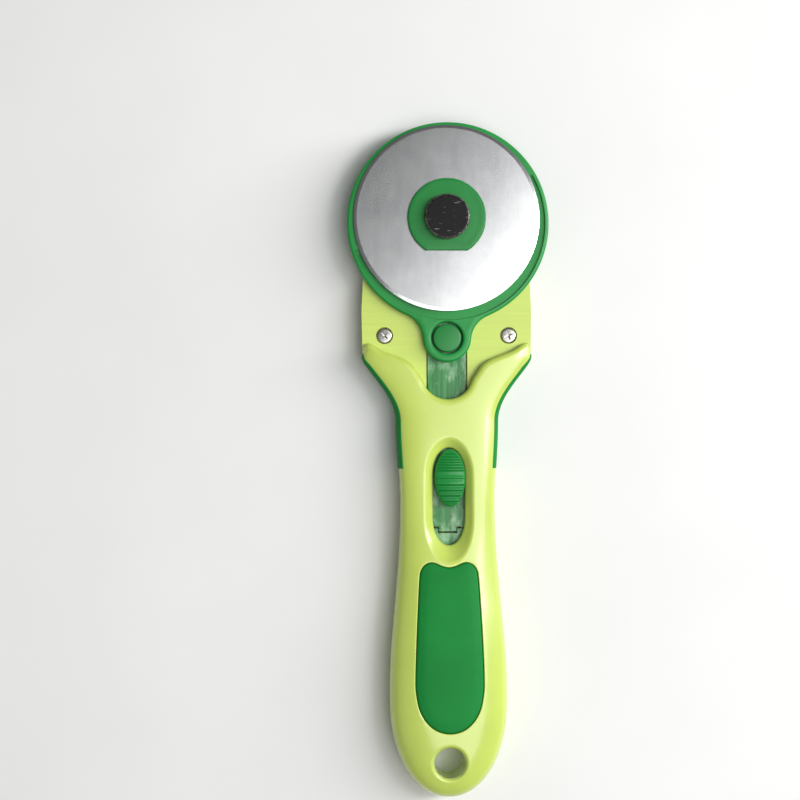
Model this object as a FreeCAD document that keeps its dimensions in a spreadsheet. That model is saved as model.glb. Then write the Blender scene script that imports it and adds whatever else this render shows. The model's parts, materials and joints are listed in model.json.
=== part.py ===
import FreeCAD, Part
import math
import os
import re
import Sketcher

# Rotary cutter with a 60 mm round blade, a sliding blade guard and a two-shell handle.
# It lies on its back. The origin is the blade's axis at the floor, +Z points out of the
# blade side, +Y runs from the handle towards the blade, and +X is to the right.

Vector = FreeCAD.Vector
doc = FreeCAD.newDocument("rotary_cutter")

sizes = {
    # blade and axle
    "blade_diameter": 60.0,
    "blade_thickness": 0.4,
    "blade_bevel": 1.0,
    "shank_diameter": 8.0,
    "shank_flat": 3.3,
    "thread_diameter": 6.0,
    "thread_end": 2.0,
    "spin_clearance": 0.05,
    "press_clearance": 0.02,
    "bolt_head_diameter": 14.4,
    "bolt_head_height": 2.8,
    "bolt_head_round": 0.7,
    "hub_washer_diameter": 25.3,
    "hub_washer_thickness": 1.5,
    "hub_washer_flat": 10.7,
    "layer_gap": 0.1,
    # nut behind the head
    "nut_diameter": 21.0,
    "nut_height": 6.0,
    "nut_scallops": 12,
    "scallop_radius": 1.6,
    "insert_diameter": 10.0,
    "insert_height": 4.4,
    "wave_washer_diameter": 15.0,
    "slip_washer_diameter": 13.2,
    # head plate
    "parting_level": 9.0,
    "plate_thickness": 2.2,
    "tongue_radius": 14.0,
    "head_half_width": 27.3,
    "plate_side_bulge": 0.2,
    "plate_top_reach": 18.0,
    "plate_corner_rise": 2.7,
    "plate_foot_gap": 0.6,
    "leg_outer": 13.5,
    "leg_end": 27.0,
    "head_back_level": 3.0,
    "nut_room": 2.0,
    # head screws and shell screws
    "screw_spacing": 40.2,
    "screw_head_diameter": 4.95,
    "screw_head_height": 1.3,
    "screw_shank_diameter": 2.6,
    "screw_recess_clearance": 0.27,
    "screw_insert_diameter": 4.2,
    "screw_insert_height": 2.6,
    "cross_length": 2.7,
    "cross_width": 0.62,
    "cross_depth": 0.8,
    "boss_outer_radius": 2.7,
    "shell_screw_seat": 3.3,
    "shell_screw_bite": 2.2,
    "rail_width": 1.25,
    "rail_shelf": 2.2,
    "screw_post_radius": 3.4,
    "screw_post_low": 2.0,
    "screw_clearance": 0.15,
    # guard
    "guard_overlap": 2.65,
    "guard_shift_x": 0.5,
    "guard_shift_y": 1.5,
    "guard_thickness": 2.5,
    "guard_gap": 0.2,
    "guard_rim": 1.2,
    "guard_ledge_depth": 0.8,
    "ledge_start": -163.0,
    "ledge_end": 30.0,
    "guard_travel": 11.5,
    "land_border": 3.4,
    "boss_reach": 8.7,
    "boss_radius": 7.8,
    "boss_bore": 10.2,
    "boss_foot_radius": 6.1,
    "neck_fillet": 9.0,
    "edge_round": 0.5,
    "rivet_cap_diameter": 9.1,
    "rivet_cap_rise": 0.3,
    "rivet_shank_diameter": 4.0,
    "rivet_foot_diameter": 7.0,
    "rivet_foot_height": 0.6,
    # slide strip, thumb button and detent clip
    "strip_width": 12.7,
    "strip_thickness": 1.8,
    "strip_drop": 0.2,
    "strip_side_clearance": 0.3,
    "strip_tab_width": 6.2,
    "strip_tab_length": 1.5,
    "clip_gap": 0.3,
    "clip_length": 20.0,
    "clip_slot_width": 1.2,
    "clip_slot_length": 13.0,
    "clip_bump": 0.2,
    "button_width": 9.8,
    "button_length": 18.5,
    "button_rise": 4.6,
    "button_band": 3.75,
    "rib_pitch": 0.88,
    "rib_groove": 0.4,
    "rib_depth": 0.5,
    "rib_count": 7,
    "peg_diameter": 3.0,
    "peg_spacing": 9.0,
    # handle plan
    "wing_reach": 1.3,
    "shoulder_reach": 6.3,
    "shoulder_length": 20.6,
    "shoulder_end_half_width": 16.3,
    "neck_half_width": 15.24,
    "belly_half_width": 18.93,
    "butt_length": 31.0,
    "butt_margin": 11.5,
    "wing_rise": 3.9,
    "neck_rise": 4.6,
    "grip_rise": 8.0,
    "neck_squareness": 5.0,
    "grip_squareness": 2.8,
    "square_reach": 13.0,
    "square_fade": 45.0,
    "wall": 2.6,
    # valley, window and dish
    "valley_clearance": 0.4,
    "window_reach": 34.9,
    "window_half_width": 5.2,
    "window_end": 8.75,
    "window_margin": 0.9,
    "dish_half_width": 7.7,
    "dish_margin": 3.8,
    "dish_shift": 0.6,
    "dish_end": 13.0,
    "dish_floor": 1.6,
    "dish_clear": 6.0,
    "roof_half_width": 9.2,
    "roof_margin": 6.0,
    # soft pieces
    "inlay_depth": 1.2,
    "inlay_fit": 0.05,
    "inlay_reach": 5.4,
    "inlay_length": 54.1,
    "inlay_top_half_width": 9.4,
    "inlay_half_width": 10.9,
    "inlay_hump": 1.6,
    "cushion_depth": 1.25,
    "cushion_reach": 4.8,
    "cushion_length": 37.5,
    "cushion_low": 1.5,
    "cushion_high": 12.6,
    # hanging hole
    "hang_hole_diameter": 10.0,
    "hang_lip": 0.4,
    "hang_reach": 9.6,
    "hang_lip_depth": 1.8,
    "hang_sleeve": 1.6,
    "hang_seat": 0.6,
}

sheet = doc.addObject("Spreadsheet::Sheet", "sizes")
for row, (alias, number) in enumerate(sizes.items(), start=1):
    sheet.set(f"A{row}", alias)
    sheet.set(f"B{row}", str(number))
    sheet.setAlias(f"B{row}", alias)
doc.recompute()

aliasPattern = re.compile(r"\b(" + "|".join(sizes) + r")\b")


def linked(text):
    """The same expression with every size name pointing at the sheet."""
    return aliasPattern.sub(r"sizes.\1", text)


def val(text):
    return float(sheet.evalExpression(linked(text)))


def bind(target, prop, text):
    target.setExpression(prop, linked(text))


# Levels along Z, from the floor up.
plateBack = "(parting_level - plate_thickness)"
stripTop = "(parting_level - strip_drop)"
stripBack = "(parting_level - strip_drop - strip_thickness)"
guardBack = "(parting_level + guard_gap)"
guardFront = "(parting_level + guard_gap + guard_thickness)"
landTop = "(parting_level + guard_gap + guard_thickness + 0.4)"
parting = "parting_level"
bladeBack = f"({landTop} + layer_gap)"
bladeFront = f"({bladeBack} + blade_thickness)"
washerBack = f"({bladeFront} + layer_gap)"
washerFront = f"({washerBack} + hub_washer_thickness)"
headTop = f"({washerFront} + bolt_head_height)"
dishFloor = "(parting_level + dish_floor)"

# Places along Y, from the axle down to the butt.
guardRadius = "(blade_diameter / 2 + guard_overlap)"
bossY = "(-blade_diameter / 2 - boss_reach)"
screwY = f"({bossY} + 0.9)"
wingY = f"({bossY} - wing_reach)"
shoulderY = f"({bossY} - shoulder_reach)"
shoulderEndY = f"({shoulderY} - shoulder_length)"
plateTopY = f"({bossY} + plate_top_reach + plate_corner_rise)"
plateLowY = f"({shoulderY} + plate_foot_gap)"
valleyY = f"({bossY} - guard_travel)"
valleyRadius = "(boss_radius + valley_clearance)"
legEndY = f"({bossY} - leg_end)"
stripStartY = f"({bossY} + boss_foot_radius + 0.9)"
windowTopY = f"({bossY} - window_reach)"
windowLength = "(button_length + guard_travel + 2 * window_margin)"
windowBottomY = f"({windowTopY} - {windowLength})"
windowMidY = f"({windowTopY} - {windowLength} / 2)"
buttonY = f"({windowTopY} - window_margin - button_length / 2)"
stripEndY = f"({windowBottomY} + 5.6)"
clipEndY = f"({stripEndY} - clip_gap - clip_length)"
inlayTopY = f"({windowBottomY} - inlay_reach)"
inlayBottomY = f"({inlayTopY} - inlay_length)"
hangY = f"({inlayBottomY} - hang_reach)"
buttY = f"({hangY} - butt_margin)"
railEndY = f"({clipEndY} - guard_travel - 2)"
shellScrewHighY = f"({legEndY} - 4.3)"
shellScrewLowY = f"({inlayBottomY} + 2.9)"
shellScrewX = "(strip_width / 2 + strip_side_clearance + rail_width + boss_outer_radius + 1)"


# ---------------------------------------------------------------- sketch helpers

def newBody(label):
    body = doc.addObject("PartDesign::Body", label)
    body.Label = label
    return body


def newSketch(body, name, role="XY_Plane", level=None):
    sketch = body.newObject("Sketcher::SketchObject", name)
    plane = [item for item in body.Origin.OriginFeatures if item.Role == role][0]
    sketch.AttachmentSupport = [(plane, "")]
    sketch.MapMode = "FlatFace"
    if level is not None:
        bind(sketch, "AttachmentOffset.Base.z", level)
    return sketch


def fixAlong(sketch, kind, index, point, text):
    """Hold one point of a sketch element along one axis, bound to the sheet."""
    number = sketch.addConstraint(Sketcher.Constraint(kind, -1, 1, index, point, val(text)))
    bind(sketch, f"Constraints[{number}]", text)


def fixPoint(sketch, index, point, x, y):
    fixAlong(sketch, "DistanceX", index, point, x)
    fixAlong(sketch, "DistanceY", index, point, y)


def fixRadius(sketch, index, radius):
    number = sketch.addConstraint(Sketcher.Constraint("Radius", index, val(radius)))
    bind(sketch, f"Constraints[{number}]", radius)


def addCircle(sketch, x, y, radius):
    circle = Part.Circle(Vector(val(x), val(y), 0), Vector(0, 0, 1), val(radius))
    index = sketch.addGeometry(circle)
    fixPoint(sketch, index, 3, x, y)
    fixRadius(sketch, index, radius)


def addPolygon(sketch, corners):
    """A closed outline of straight lines through corners given as pairs of expressions."""
    points = [Vector(val(x), val(y), 0) for x, y in corners]
    count = len(points)
    first = None
    for number in range(count):
        line = Part.LineSegment(points[number], points[(number + 1) % count])
        index = sketch.addGeometry(line)
        first = index if first is None else first
        fixPoint(sketch, index, 1, *corners[number])
        if number:
            sketch.addConstraint(Sketcher.Constraint("Coincident", index - 1, 2, index, 1))
    sketch.addConstraint(Sketcher.Constraint("Coincident", index, 2, first, 1))


def addBox(sketch, low, high):
    addPolygon(sketch, [(low[0], low[1]), (high[0], low[1]), (high[0], high[1]), (low[0], high[1])])


def addOval(sketch, x, yLow, yHigh, radius):
    """A slot outline along Y with half-round ends."""
    r, cx = val(radius), val(x)
    low, high = val(yLow), val(yHigh)
    axis = Vector(0, 0, 1)
    top = sketch.addGeometry(Part.ArcOfCircle(
        Part.Circle(Vector(cx, high, 0), axis, r), 0, math.pi))
    left = sketch.addGeometry(Part.LineSegment(Vector(cx - r, high, 0), Vector(cx - r, low, 0)))
    bottom = sketch.addGeometry(Part.ArcOfCircle(
        Part.Circle(Vector(cx, low, 0), axis, r), math.pi, 2 * math.pi))
    right = sketch.addGeometry(Part.LineSegment(Vector(cx + r, low, 0), Vector(cx + r, high, 0)))
    for one, endOne, two, endTwo in ((top, 2, left, 1), (left, 2, bottom, 1),
                                     (bottom, 2, right, 1), (right, 2, top, 1)):
        sketch.addConstraint(Sketcher.Constraint("Tangent", one, endOne, two, endTwo))
    fixPoint(sketch, top, 3, x, yHigh)
    fixPoint(sketch, bottom, 3, x, yLow)
    fixRadius(sketch, top, radius)


def addKeyhole(sketch, radius, flat):
    """A circle about the origin with one flat side towards +X."""
    r, x = val(radius), val(flat)
    turn = math.acos(x / r)
    circle = Part.Circle(Vector(0, 0, 0), Vector(0, 0, 1), r)
    arc = sketch.addGeometry(Part.ArcOfCircle(circle, turn, 2 * math.pi - turn))
    y = r * math.sin(turn)
    line = sketch.addGeometry(Part.LineSegment(Vector(x, -y, 0), Vector(x, y, 0)))
    sketch.addConstraint(Sketcher.Constraint("Coincident", arc, 2, line, 1))
    sketch.addConstraint(Sketcher.Constraint("Coincident", line, 2, arc, 1))
    fixPoint(sketch, arc, 3, "0", "0")
    fixRadius(sketch, arc, radius)
    fixAlong(sketch, "DistanceX", line, 1, flat)
    fixAlong(sketch, "DistanceX", line, 2, flat)


def pad(body, sketch, name, length, reversed=False):
    feature = body.newObject("PartDesign::Pad", name)
    feature.Profile = sketch
    bind(feature, "Length", length)
    feature.Reversed = reversed
    return feature


def pocket(body, sketch, name, length):
    """Cut from the sketch plane down along -Z."""
    feature = body.newObject("PartDesign::Pocket", name)
    feature.Profile = sketch
    bind(feature, "Length", length)
    return feature


def revolve(body, sketch, name):
    feature = body.newObject("PartDesign::Revolution", name)
    feature.Profile = sketch
    feature.ReferenceAxis = (sketch, ["V_Axis"])
    feature.Angle = 360
    return feature


def spunBody(label, corners):
    """A body turned about the Z axis from an (r, z) outline."""
    body = newBody(label)
    sketch = newSketch(body, label + "_profile", "XZ_Plane")
    addPolygon(sketch, corners)
    revolve(body, sketch, label + "_turned")
    return body


def ringBody(label, inner, outer, low, high):
    return spunBody(label, [(inner, low), (outer, low), (outer, high), (inner, high)])


def roundEdges(body, name, edges, radius):
    base = body.Tip
    feature = body.newObject("PartDesign::Fillet", name)
    feature.Base = (base, edges)
    bind(feature, "Radius", radius)
    return feature


def circularEdges(shape, radius, level, tolerance=0.01):
    """Names of the circular edges of one radius that lie at one level."""
    names = []
    for number, edge in enumerate(shape.Edges, start=1):
        curve = edge.Curve
        if not isinstance(curve, Part.Circle) or abs(curve.Radius - radius) > tolerance:
            continue
        if abs(curve.Center.z - level) < tolerance:
            names.append(f"Edge{number}")
    return names


# ---------------------------------------------------------------- blade and axle

def makeBlade():
    r = "blade_diameter / 2"
    bore = "shank_diameter / 2 + spin_clearance"
    middle = f"{bladeBack} + blade_thickness / 2"
    return spunBody("blade", [
        (bore, bladeBack), (f"{r} - blade_bevel", bladeBack), (r, f"{middle} - 0.02"),
        (r, f"{middle} + 0.02"), (f"{r} - blade_bevel", bladeFront), (bore, bladeFront)])


def makeAxleBolt():
    head = "bolt_head_diameter / 2"
    shank = "shank_diameter / 2"
    thread = "thread_diameter / 2"
    body = spunBody("axle_bolt", [
        ("0", "thread_end"), (f"{thread} - 0.5", "thread_end"), (thread, "thread_end + 0.5"),
        (thread, plateBack), (shank, plateBack), (shank, washerFront), (head, washerFront),
        (head, headTop), ("0", headTop)])
    doc.recompute()
    roundEdges(body, "head_round", circularEdges(body.Shape, val(head), val(headTop)),
               "bolt_head_round")
    sketch = newSketch(body, "key_flat", level=parting)
    addBox(sketch, ("shank_flat", f"-{shank}"), (f"{shank} + 1", shank))
    pocket(body, sketch, "key_cut", "plate_thickness")
    return body


def makeHubWasher():
    body = ringBody("hub_washer", "shank_diameter / 2 + press_clearance",
                    "hub_washer_diameter / 2", washerBack, washerFront)
    sketch = newSketch(body, "flat_outline", level=f"{washerFront} + 0.1")
    reach = "hub_washer_diameter"
    addBox(sketch, (f"-{reach}", f"-{reach}"), (reach, "-hub_washer_flat"))
    pocket(body, sketch, "flat_cut", "hub_washer_thickness + 0.2")
    return body


def makeWaveWasher():
    return ringBody("wave_washer", "thread_diameter / 2 + 0.3", "wave_washer_diameter / 2",
                    "nut_height + 0.1", plateBack)


def makeSlipWasher():
    """Thin ring on the shank between the head plate and the guard."""
    return ringBody("slip_washer", "shank_diameter / 2 + press_clearance",
                    "slip_washer_diameter / 2", "parting_level", f"{guardBack} - 0.05")


def makeNutKnob():
    outer = "nut_diameter / 2"
    seat = "insert_diameter / 2 + press_clearance"
    seatBottom = "nut_height - insert_height"
    body = spunBody("nut_knob", [
        ("0", "0"), (f"{outer} - 0.8", "0"), (outer, "0.8"), (outer, "nut_height"),
        (seat, "nut_height"), (seat, seatBottom), ("0", seatBottom)])
    sketch = newSketch(body, "scallop_outline", level="nut_height + 0.1")
    addCircle(sketch, f"{outer} + scallop_radius / 2", "0", "scallop_radius")
    cut = pocket(body, sketch, "scallop", "nut_height + 0.2")
    pattern = body.newObject("PartDesign::PolarPattern", "scallops")
    pattern.Originals = [cut]
    axis = [item for item in body.Origin.OriginFeatures if item.Role == "Z_Axis"][0]
    pattern.Axis = (axis, [""])
    pattern.Angle = 360
    bind(pattern, "Occurrences", "nut_scallops")
    body.Tip = pattern
    return body


def makeNutInsert():
    return ringBody("nut_insert", "thread_diameter / 2 + spin_clearance", "insert_diameter / 2",
                    "nut_height - insert_height", "nut_height")


# ---------------------------------------------------------------- head plate


def makeHeadPlate():
    """Flat plate that carries the axle, open down the middle for the slide strip."""
    body = newBody("head_plate")
    sketch = newSketch(body, "plate_outline", level=plateBack)
    side = "head_half_width"
    channel = "(strip_width / 2 + strip_side_clearance)"
    slope = 40
    c, s = math.cos(math.radians(slope)), math.sin(math.radians(slope))
    touch = (f"tongue_radius * {c:.5f}", f"tongue_radius * {s:.5f}")
    right = [touch, (f"{side} - 0.4", plateTopY), (f"{side} + plate_side_bulge", f"{wingY} + 10"),
             (side, wingY), (side, f"{plateLowY} + 1"), (f"{side} - 3", plateLowY), ("leg_outer", f"{plateLowY} - 6"),
             ("leg_outer", legEndY), (channel, legEndY), (channel, f"{stripStartY} + 0.4")]
    left = [(f"-({x})", y) for x, y in reversed(right)]
    corners = right + left
    points = [Vector(val(x), val(y), 0) for x, y in corners]
    lines = []
    for number in range(len(points) - 1):
        lines.append(sketch.addGeometry(Part.LineSegment(points[number], points[number + 1])))
        fixPoint(sketch, lines[-1], 1, *corners[number])
        if number:
            sketch.addConstraint(Sketcher.Constraint("Coincident", lines[-2], 2, lines[-1], 1))
    fixPoint(sketch, lines[-1], 2, *corners[-1])
    tongue = sketch.addGeometry(Part.Arc(points[0], Vector(0, val("tongue_radius"), 0), points[-1]))
    sketch.addConstraint(Sketcher.Constraint("Coincident", tongue, 1, lines[0], 1))
    sketch.addConstraint(Sketcher.Constraint("Coincident", tongue, 2, lines[-1], 2))
    fixRadius(sketch, tongue, "tongue_radius")
    pad(body, sketch, "plate_pad", "plate_thickness")

    keyhole = newSketch(body, "keyhole", level=parting)
    addKeyhole(keyhole, "shank_diameter / 2 + spin_clearance", "shank_flat + spin_clearance")
    pocket(body, keyhole, "keyhole_cut", "plate_thickness + 0.1")
    for sign in ("-", ""):
        label = "left" if sign else "right"
        hole = newSketch(body, f"{label}_recess", level=parting)
        x = f"{sign}screw_spacing / 2"
        addCircle(hole, x, screwY, "screw_head_diameter / 2 + screw_recess_clearance")
        pocket(body, hole, f"{label}_recess_cut", "screw_head_height")
        through = newSketch(body, f"{label}_hole", level=parting)
        addCircle(through, x, screwY, "screw_shank_diameter / 2 + 0.15")
        pocket(body, through, f"{label}_hole_cut", "plate_thickness + 0.1")
    return body


# ---------------------------------------------------------------- guard

def makeBladeGuard():
    """Disc behind the blade with a raised rim and a boss that joins it to the strip."""
    body = newBody("blade_guard")
    sketch = newSketch(body, "guard_outline", level=guardBack)
    disc = Vector(val("guard_shift_x"), -val("guard_shift_y"), 0)
    boss = Vector(0, val(bossY), 0)
    discR, bossR, fillet = val(guardRadius), val("boss_radius"), val("neck_fillet")
    axis = Vector(0, 0, 1)

    def neckCentre(side):
        """Centre of the concave arc that touches the disc and the boss on one side."""
        gap = boss - disc
        length = gap.Length
        toDisc, toBoss = discR + fillet, bossR + fillet
        along = (length ** 2 + toDisc ** 2 - toBoss ** 2) / (2 * length)
        across = math.sqrt(toDisc ** 2 - along ** 2)
        unit = gap / length
        normal = Vector(-unit.y, unit.x, 0)
        return disc + unit * along + normal * (across * side)

    def angle(centre, point):
        return math.atan2(point.y - centre.y, point.x - centre.x)

    right, left = neckCentre(1), neckCentre(-1)
    if right.x < left.x:
        right, left = left, right
    onDisc = [disc + (c - disc) * (discR / (c - disc).Length) for c in (right, left)]
    onBoss = [boss + (c - boss) * (bossR / (c - boss).Length) for c in (right, left)]

    def arc(centre, radius, start, end):
        a, b = angle(centre, start), angle(centre, end)
        while b <= a:
            b += 2 * math.pi
        return sketch.addGeometry(Part.ArcOfCircle(Part.Circle(centre, axis, radius), a, b))

    big = arc(disc, discR, onDisc[0], onDisc[1])
    leftNeck = arc(left, fillet, onBoss[1], onDisc[1])
    small = arc(boss, bossR, onBoss[1], onBoss[0])
    rightNeck = arc(right, fillet, onDisc[0], onBoss[0])
    for one, endOne, two, endTwo in ((big, 2, leftNeck, 2), (leftNeck, 1, small, 1),
                                     (small, 2, rightNeck, 2), (rightNeck, 1, big, 1)):
        sketch.addConstraint(Sketcher.Constraint("Tangent", one, endOne, two, endTwo))
    fixPoint(sketch, big, 3, "guard_shift_x", "-guard_shift_y")
    fixPoint(sketch, small, 3, "0", bossY)
    fixRadius(sketch, big, guardRadius)
    fixRadius(sketch, small, "boss_radius")
    fixRadius(sketch, leftNeck, "neck_fillet")
    fixRadius(sketch, rightNeck, "neck_fillet")
    pad(body, sketch, "guard_pad", "guard_thickness")
    doc.recompute()

    names = []
    for number, edge in enumerate(body.Shape.Edges, start=1):
        if abs(edge.BoundBox.ZMin - val(guardFront)) < 0.001:
            names.append(f"Edge{number}")
    roundEdges(body, "front_round", names, "edge_round")

    ledge = newSketch(body, "ledge_outline", level=guardFront)
    inner = guardRadius + " - guard_rim"
    radius = val(inner)
    a, b = math.radians(val("ledge_start")), math.radians(val("ledge_end"))
    ring = Part.Circle(disc, axis, radius)
    arcIndex = ledge.addGeometry(Part.ArcOfCircle(ring, a, b))
    ends = [disc + Vector(math.cos(t), math.sin(t), 0) * radius for t in (a, b)]
    chord = ledge.addGeometry(Part.LineSegment(ends[1], ends[0]))
    ledge.addConstraint(Sketcher.Constraint("Coincident", arcIndex, 2, chord, 1))
    ledge.addConstraint(Sketcher.Constraint("Coincident", arcIndex, 1, chord, 2))
    fixPoint(ledge, arcIndex, 3, "guard_shift_x", "-guard_shift_y")
    fixPoint(ledge, arcIndex, 1, f"guard_shift_x + ({inner}) * cos(ledge_start * 1deg)",
             f"-guard_shift_y + ({inner}) * sin(ledge_start * 1deg)")
    fixAlong(ledge, "DistanceY", chord, 1,
             f"-guard_shift_y + ({inner}) * sin(ledge_end * 1deg)")
    pocket(body, ledge, "ledge_cut", "guard_ledge_depth")

    land = newSketch(body, "land_outline", level=guardBack)
    addOval(land, "0", "0", "guard_travel", "shank_diameter / 2 + land_border")
    pad(body, land, "land_pad", f"{landTop} - {guardBack}")
    slot = newSketch(body, "slot_outline", level=f"{landTop} + 0.1")
    addOval(slot, "0", "0", "guard_travel", "shank_diameter / 2 + 0.15")
    pocket(body, slot, "slot_cut", f"{landTop} - {guardBack} + 0.2")
    foot = newSketch(body, "foot_outline", level=stripTop)
    addCircle(foot, "0", bossY, "boss_foot_radius")
    pad(body, foot, "foot_pad", f"{guardBack} - {stripTop} + 0.1")
    bore = newSketch(body, "bore_outline", level=f"{guardFront} + 0.1")
    addCircle(bore, "0", bossY, "boss_bore / 2")
    pocket(body, bore, "bore_cut", f"{guardFront} - {stripTop} + 0.2")
    return body


def makeGuardRivet():
    """Round stud that holds the guard on the strip; its domed cap fills the boss."""
    body = newBody("guard_rivet")
    sketch = newSketch(body, "rivet_profile", "XZ_Plane")
    cap = "rivet_cap_diameter / 2"
    shank = "rivet_shank_diameter / 2"
    foot = "rivet_foot_diameter / 2"
    footTop = f"{stripBack} + rivet_foot_height"
    capTop = f"{guardFront} + rivet_cap_rise"
    addPolygon(sketch, [("0", stripBack), (foot, stripBack), (foot, footTop), (shank, footTop),
                        (shank, stripTop), (cap, stripTop), (cap, f"{capTop} - 0.6"),
                        (f"{cap} - 0.8", capTop), ("0", capTop)])
    bind(sketch, "AttachmentOffset.Base.z", f"-({bossY})")
    revolve(body, sketch, "rivet_turned")
    return body


# ---------------------------------------------------------------- strip, button, clip

def makeSlideStrip():
    body = newBody("slide_strip")
    half = "strip_width / 2"
    tab = "strip_tab_width / 2"
    sketch = newSketch(body, "strip_outline", level=stripBack)
    addPolygon(sketch, [
        (f"-({half})", stripStartY), (f"-({half})", stripEndY), (f"-({tab})", stripEndY),
        (f"-({tab})", f"{stripEndY} - strip_tab_length"), (tab, f"{stripEndY} - strip_tab_length"),
        (tab, stripEndY), (half, stripEndY), (half, stripStartY)])
    pad(body, sketch, "strip_pad", "strip_thickness")
    seat = newSketch(body, "foot_seat", level=f"{stripBack} + rivet_foot_height + 0.02")
    addCircle(seat, "0", bossY, "rivet_foot_diameter / 2 + press_clearance")
    pocket(body, seat, "foot_seat_cut", "rivet_foot_height + 0.1")
    hole = newSketch(body, "rivet_hole", level=stripTop)
    addCircle(hole, "0", bossY, "rivet_shank_diameter / 2 + press_clearance")
    pocket(body, hole, "rivet_hole_cut", "strip_thickness + 0.1")
    pegs = newSketch(body, "peg_holes", level=stripTop)
    for sign in ("+", "-"):
        addCircle(pegs, "0", f"{buttonY} {sign} peg_spacing / 2", "peg_diameter / 2 + press_clearance")
    pocket(body, pegs, "peg_holes_cut", "strip_thickness + 0.1")
    return body


def makeDetentClip():
    """Second flat piece behind the strip: a notched head and two springy arms."""
    body = newBody("detent_clip")
    half = "strip_width / 2"
    tab = "(strip_tab_width / 2 + 0.1)"
    topY = f"{stripEndY} - clip_gap"
    notchY = f"{topY} - strip_tab_length"
    slotTop = f"{clipEndY} + clip_slot_length"
    bumpY = f"{clipEndY} + 2.5"
    sketch = newSketch(body, "clip_outline", level=stripBack)
    right = [(half, topY), (half, f"{bumpY} + 1.5"), (f"{half} + clip_bump", bumpY),
             (half, f"{bumpY} - 1.5"), (half, clipEndY)]
    left = [(f"-({x})", y) for x, y in reversed(right)]
    addPolygon(sketch, [(tab, notchY), (tab, topY)] + right + left
               + [(f"-{tab}", topY), (f"-{tab}", notchY)])
    pad(body, sketch, "clip_pad", "strip_thickness")
    for sign in ("-", ""):
        label = "left" if sign else "right"
        slot = newSketch(body, f"{label}_slot", level=stripTop)
        inner = f"({half} - 1.6 - clip_slot_width)"
        outer = f"({half} - 1.6)"
        low, high = f"{clipEndY} - 0.1", slotTop
        if sign:
            addBox(slot, (f"-{outer}", low), (f"-{inner}", high))
        else:
            addBox(slot, (inner, low), (outer, high))
        pocket(body, slot, f"{label}_slot_cut", "strip_thickness + 0.1")
    return body


def makeThumbButton():
    """Oval slider knob: cross ribs above and below a smooth thumb band."""
    body = newBody("thumb_button")
    top = f"{stripTop} + button_rise"
    long, short = val("button_length / 2"), val("button_width / 2")
    middle = Vector(0, val(buttonY), 0)
    sketch = newSketch(body, "button_outline", level=stripTop)
    ellipse = Part.Ellipse(middle + Vector(0, long, 0), middle + Vector(-short, 0, 0), middle)
    index = sketch.addGeometry(ellipse)
    sketch.exposeInternalGeometry(index)
    fixPoint(sketch, index, 3, "0", buttonY)
    major, minor = index + 1, index + 2
    sketch.addConstraint(Sketcher.Constraint("Vertical", major))
    for line, text in ((major, "button_length"), (minor, "button_width")):
        number = sketch.addConstraint(
            Sketcher.Constraint("Distance", line, 1, line, 2, val(text)))
        bind(sketch, f"Constraints[{number}]", text)
    pad(body, sketch, "button_pad", "button_rise")
    pegs = newSketch(body, "peg_outline", level=f"{stripTop} + 0.1")
    for sign in ("+", "-"):
        addCircle(pegs, "0", f"{buttonY} {sign} peg_spacing / 2", "peg_diameter / 2")
    pad(body, pegs, "peg_pad", "strip_thickness + 0.1", reversed=True)
    doc.recompute()
    for name, sign in (("upper", ""), ("lower", "-")):
        groove = newSketch(body, f"{name}_groove", level=top)
        start = f"({buttonY} + {sign}(button_band / 2 + rib_pitch / 2))"
        addBox(groove, ("-button_width", f"{start} - rib_groove / 2"),
               ("button_width", f"{start} + rib_groove / 2"))
        cut = pocket(body, groove, f"{name}_groove_cut", "rib_depth")
        pattern = body.newObject("PartDesign::LinearPattern", f"{name}_grooves")
        pattern.Originals = [cut]
        axis = [item for item in body.Origin.OriginFeatures if item.Role == "Y_Axis"][0]
        pattern.Direction = (axis, [""])
        pattern.Reversed = bool(sign)
        bind(pattern, "Length", "rib_pitch * (rib_count - 1)")
        bind(pattern, "Occurrences", "rib_count")
        body.Tip = pattern
        doc.recompute()
    return body


# ---------------------------------------------------------------- handle form

def smooth(t):
    t = min(1.0, max(0.0, t))
    return t * t * (3 - 2 * t)


def mix(a, b, t):
    return a + (b - a) * t


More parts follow.
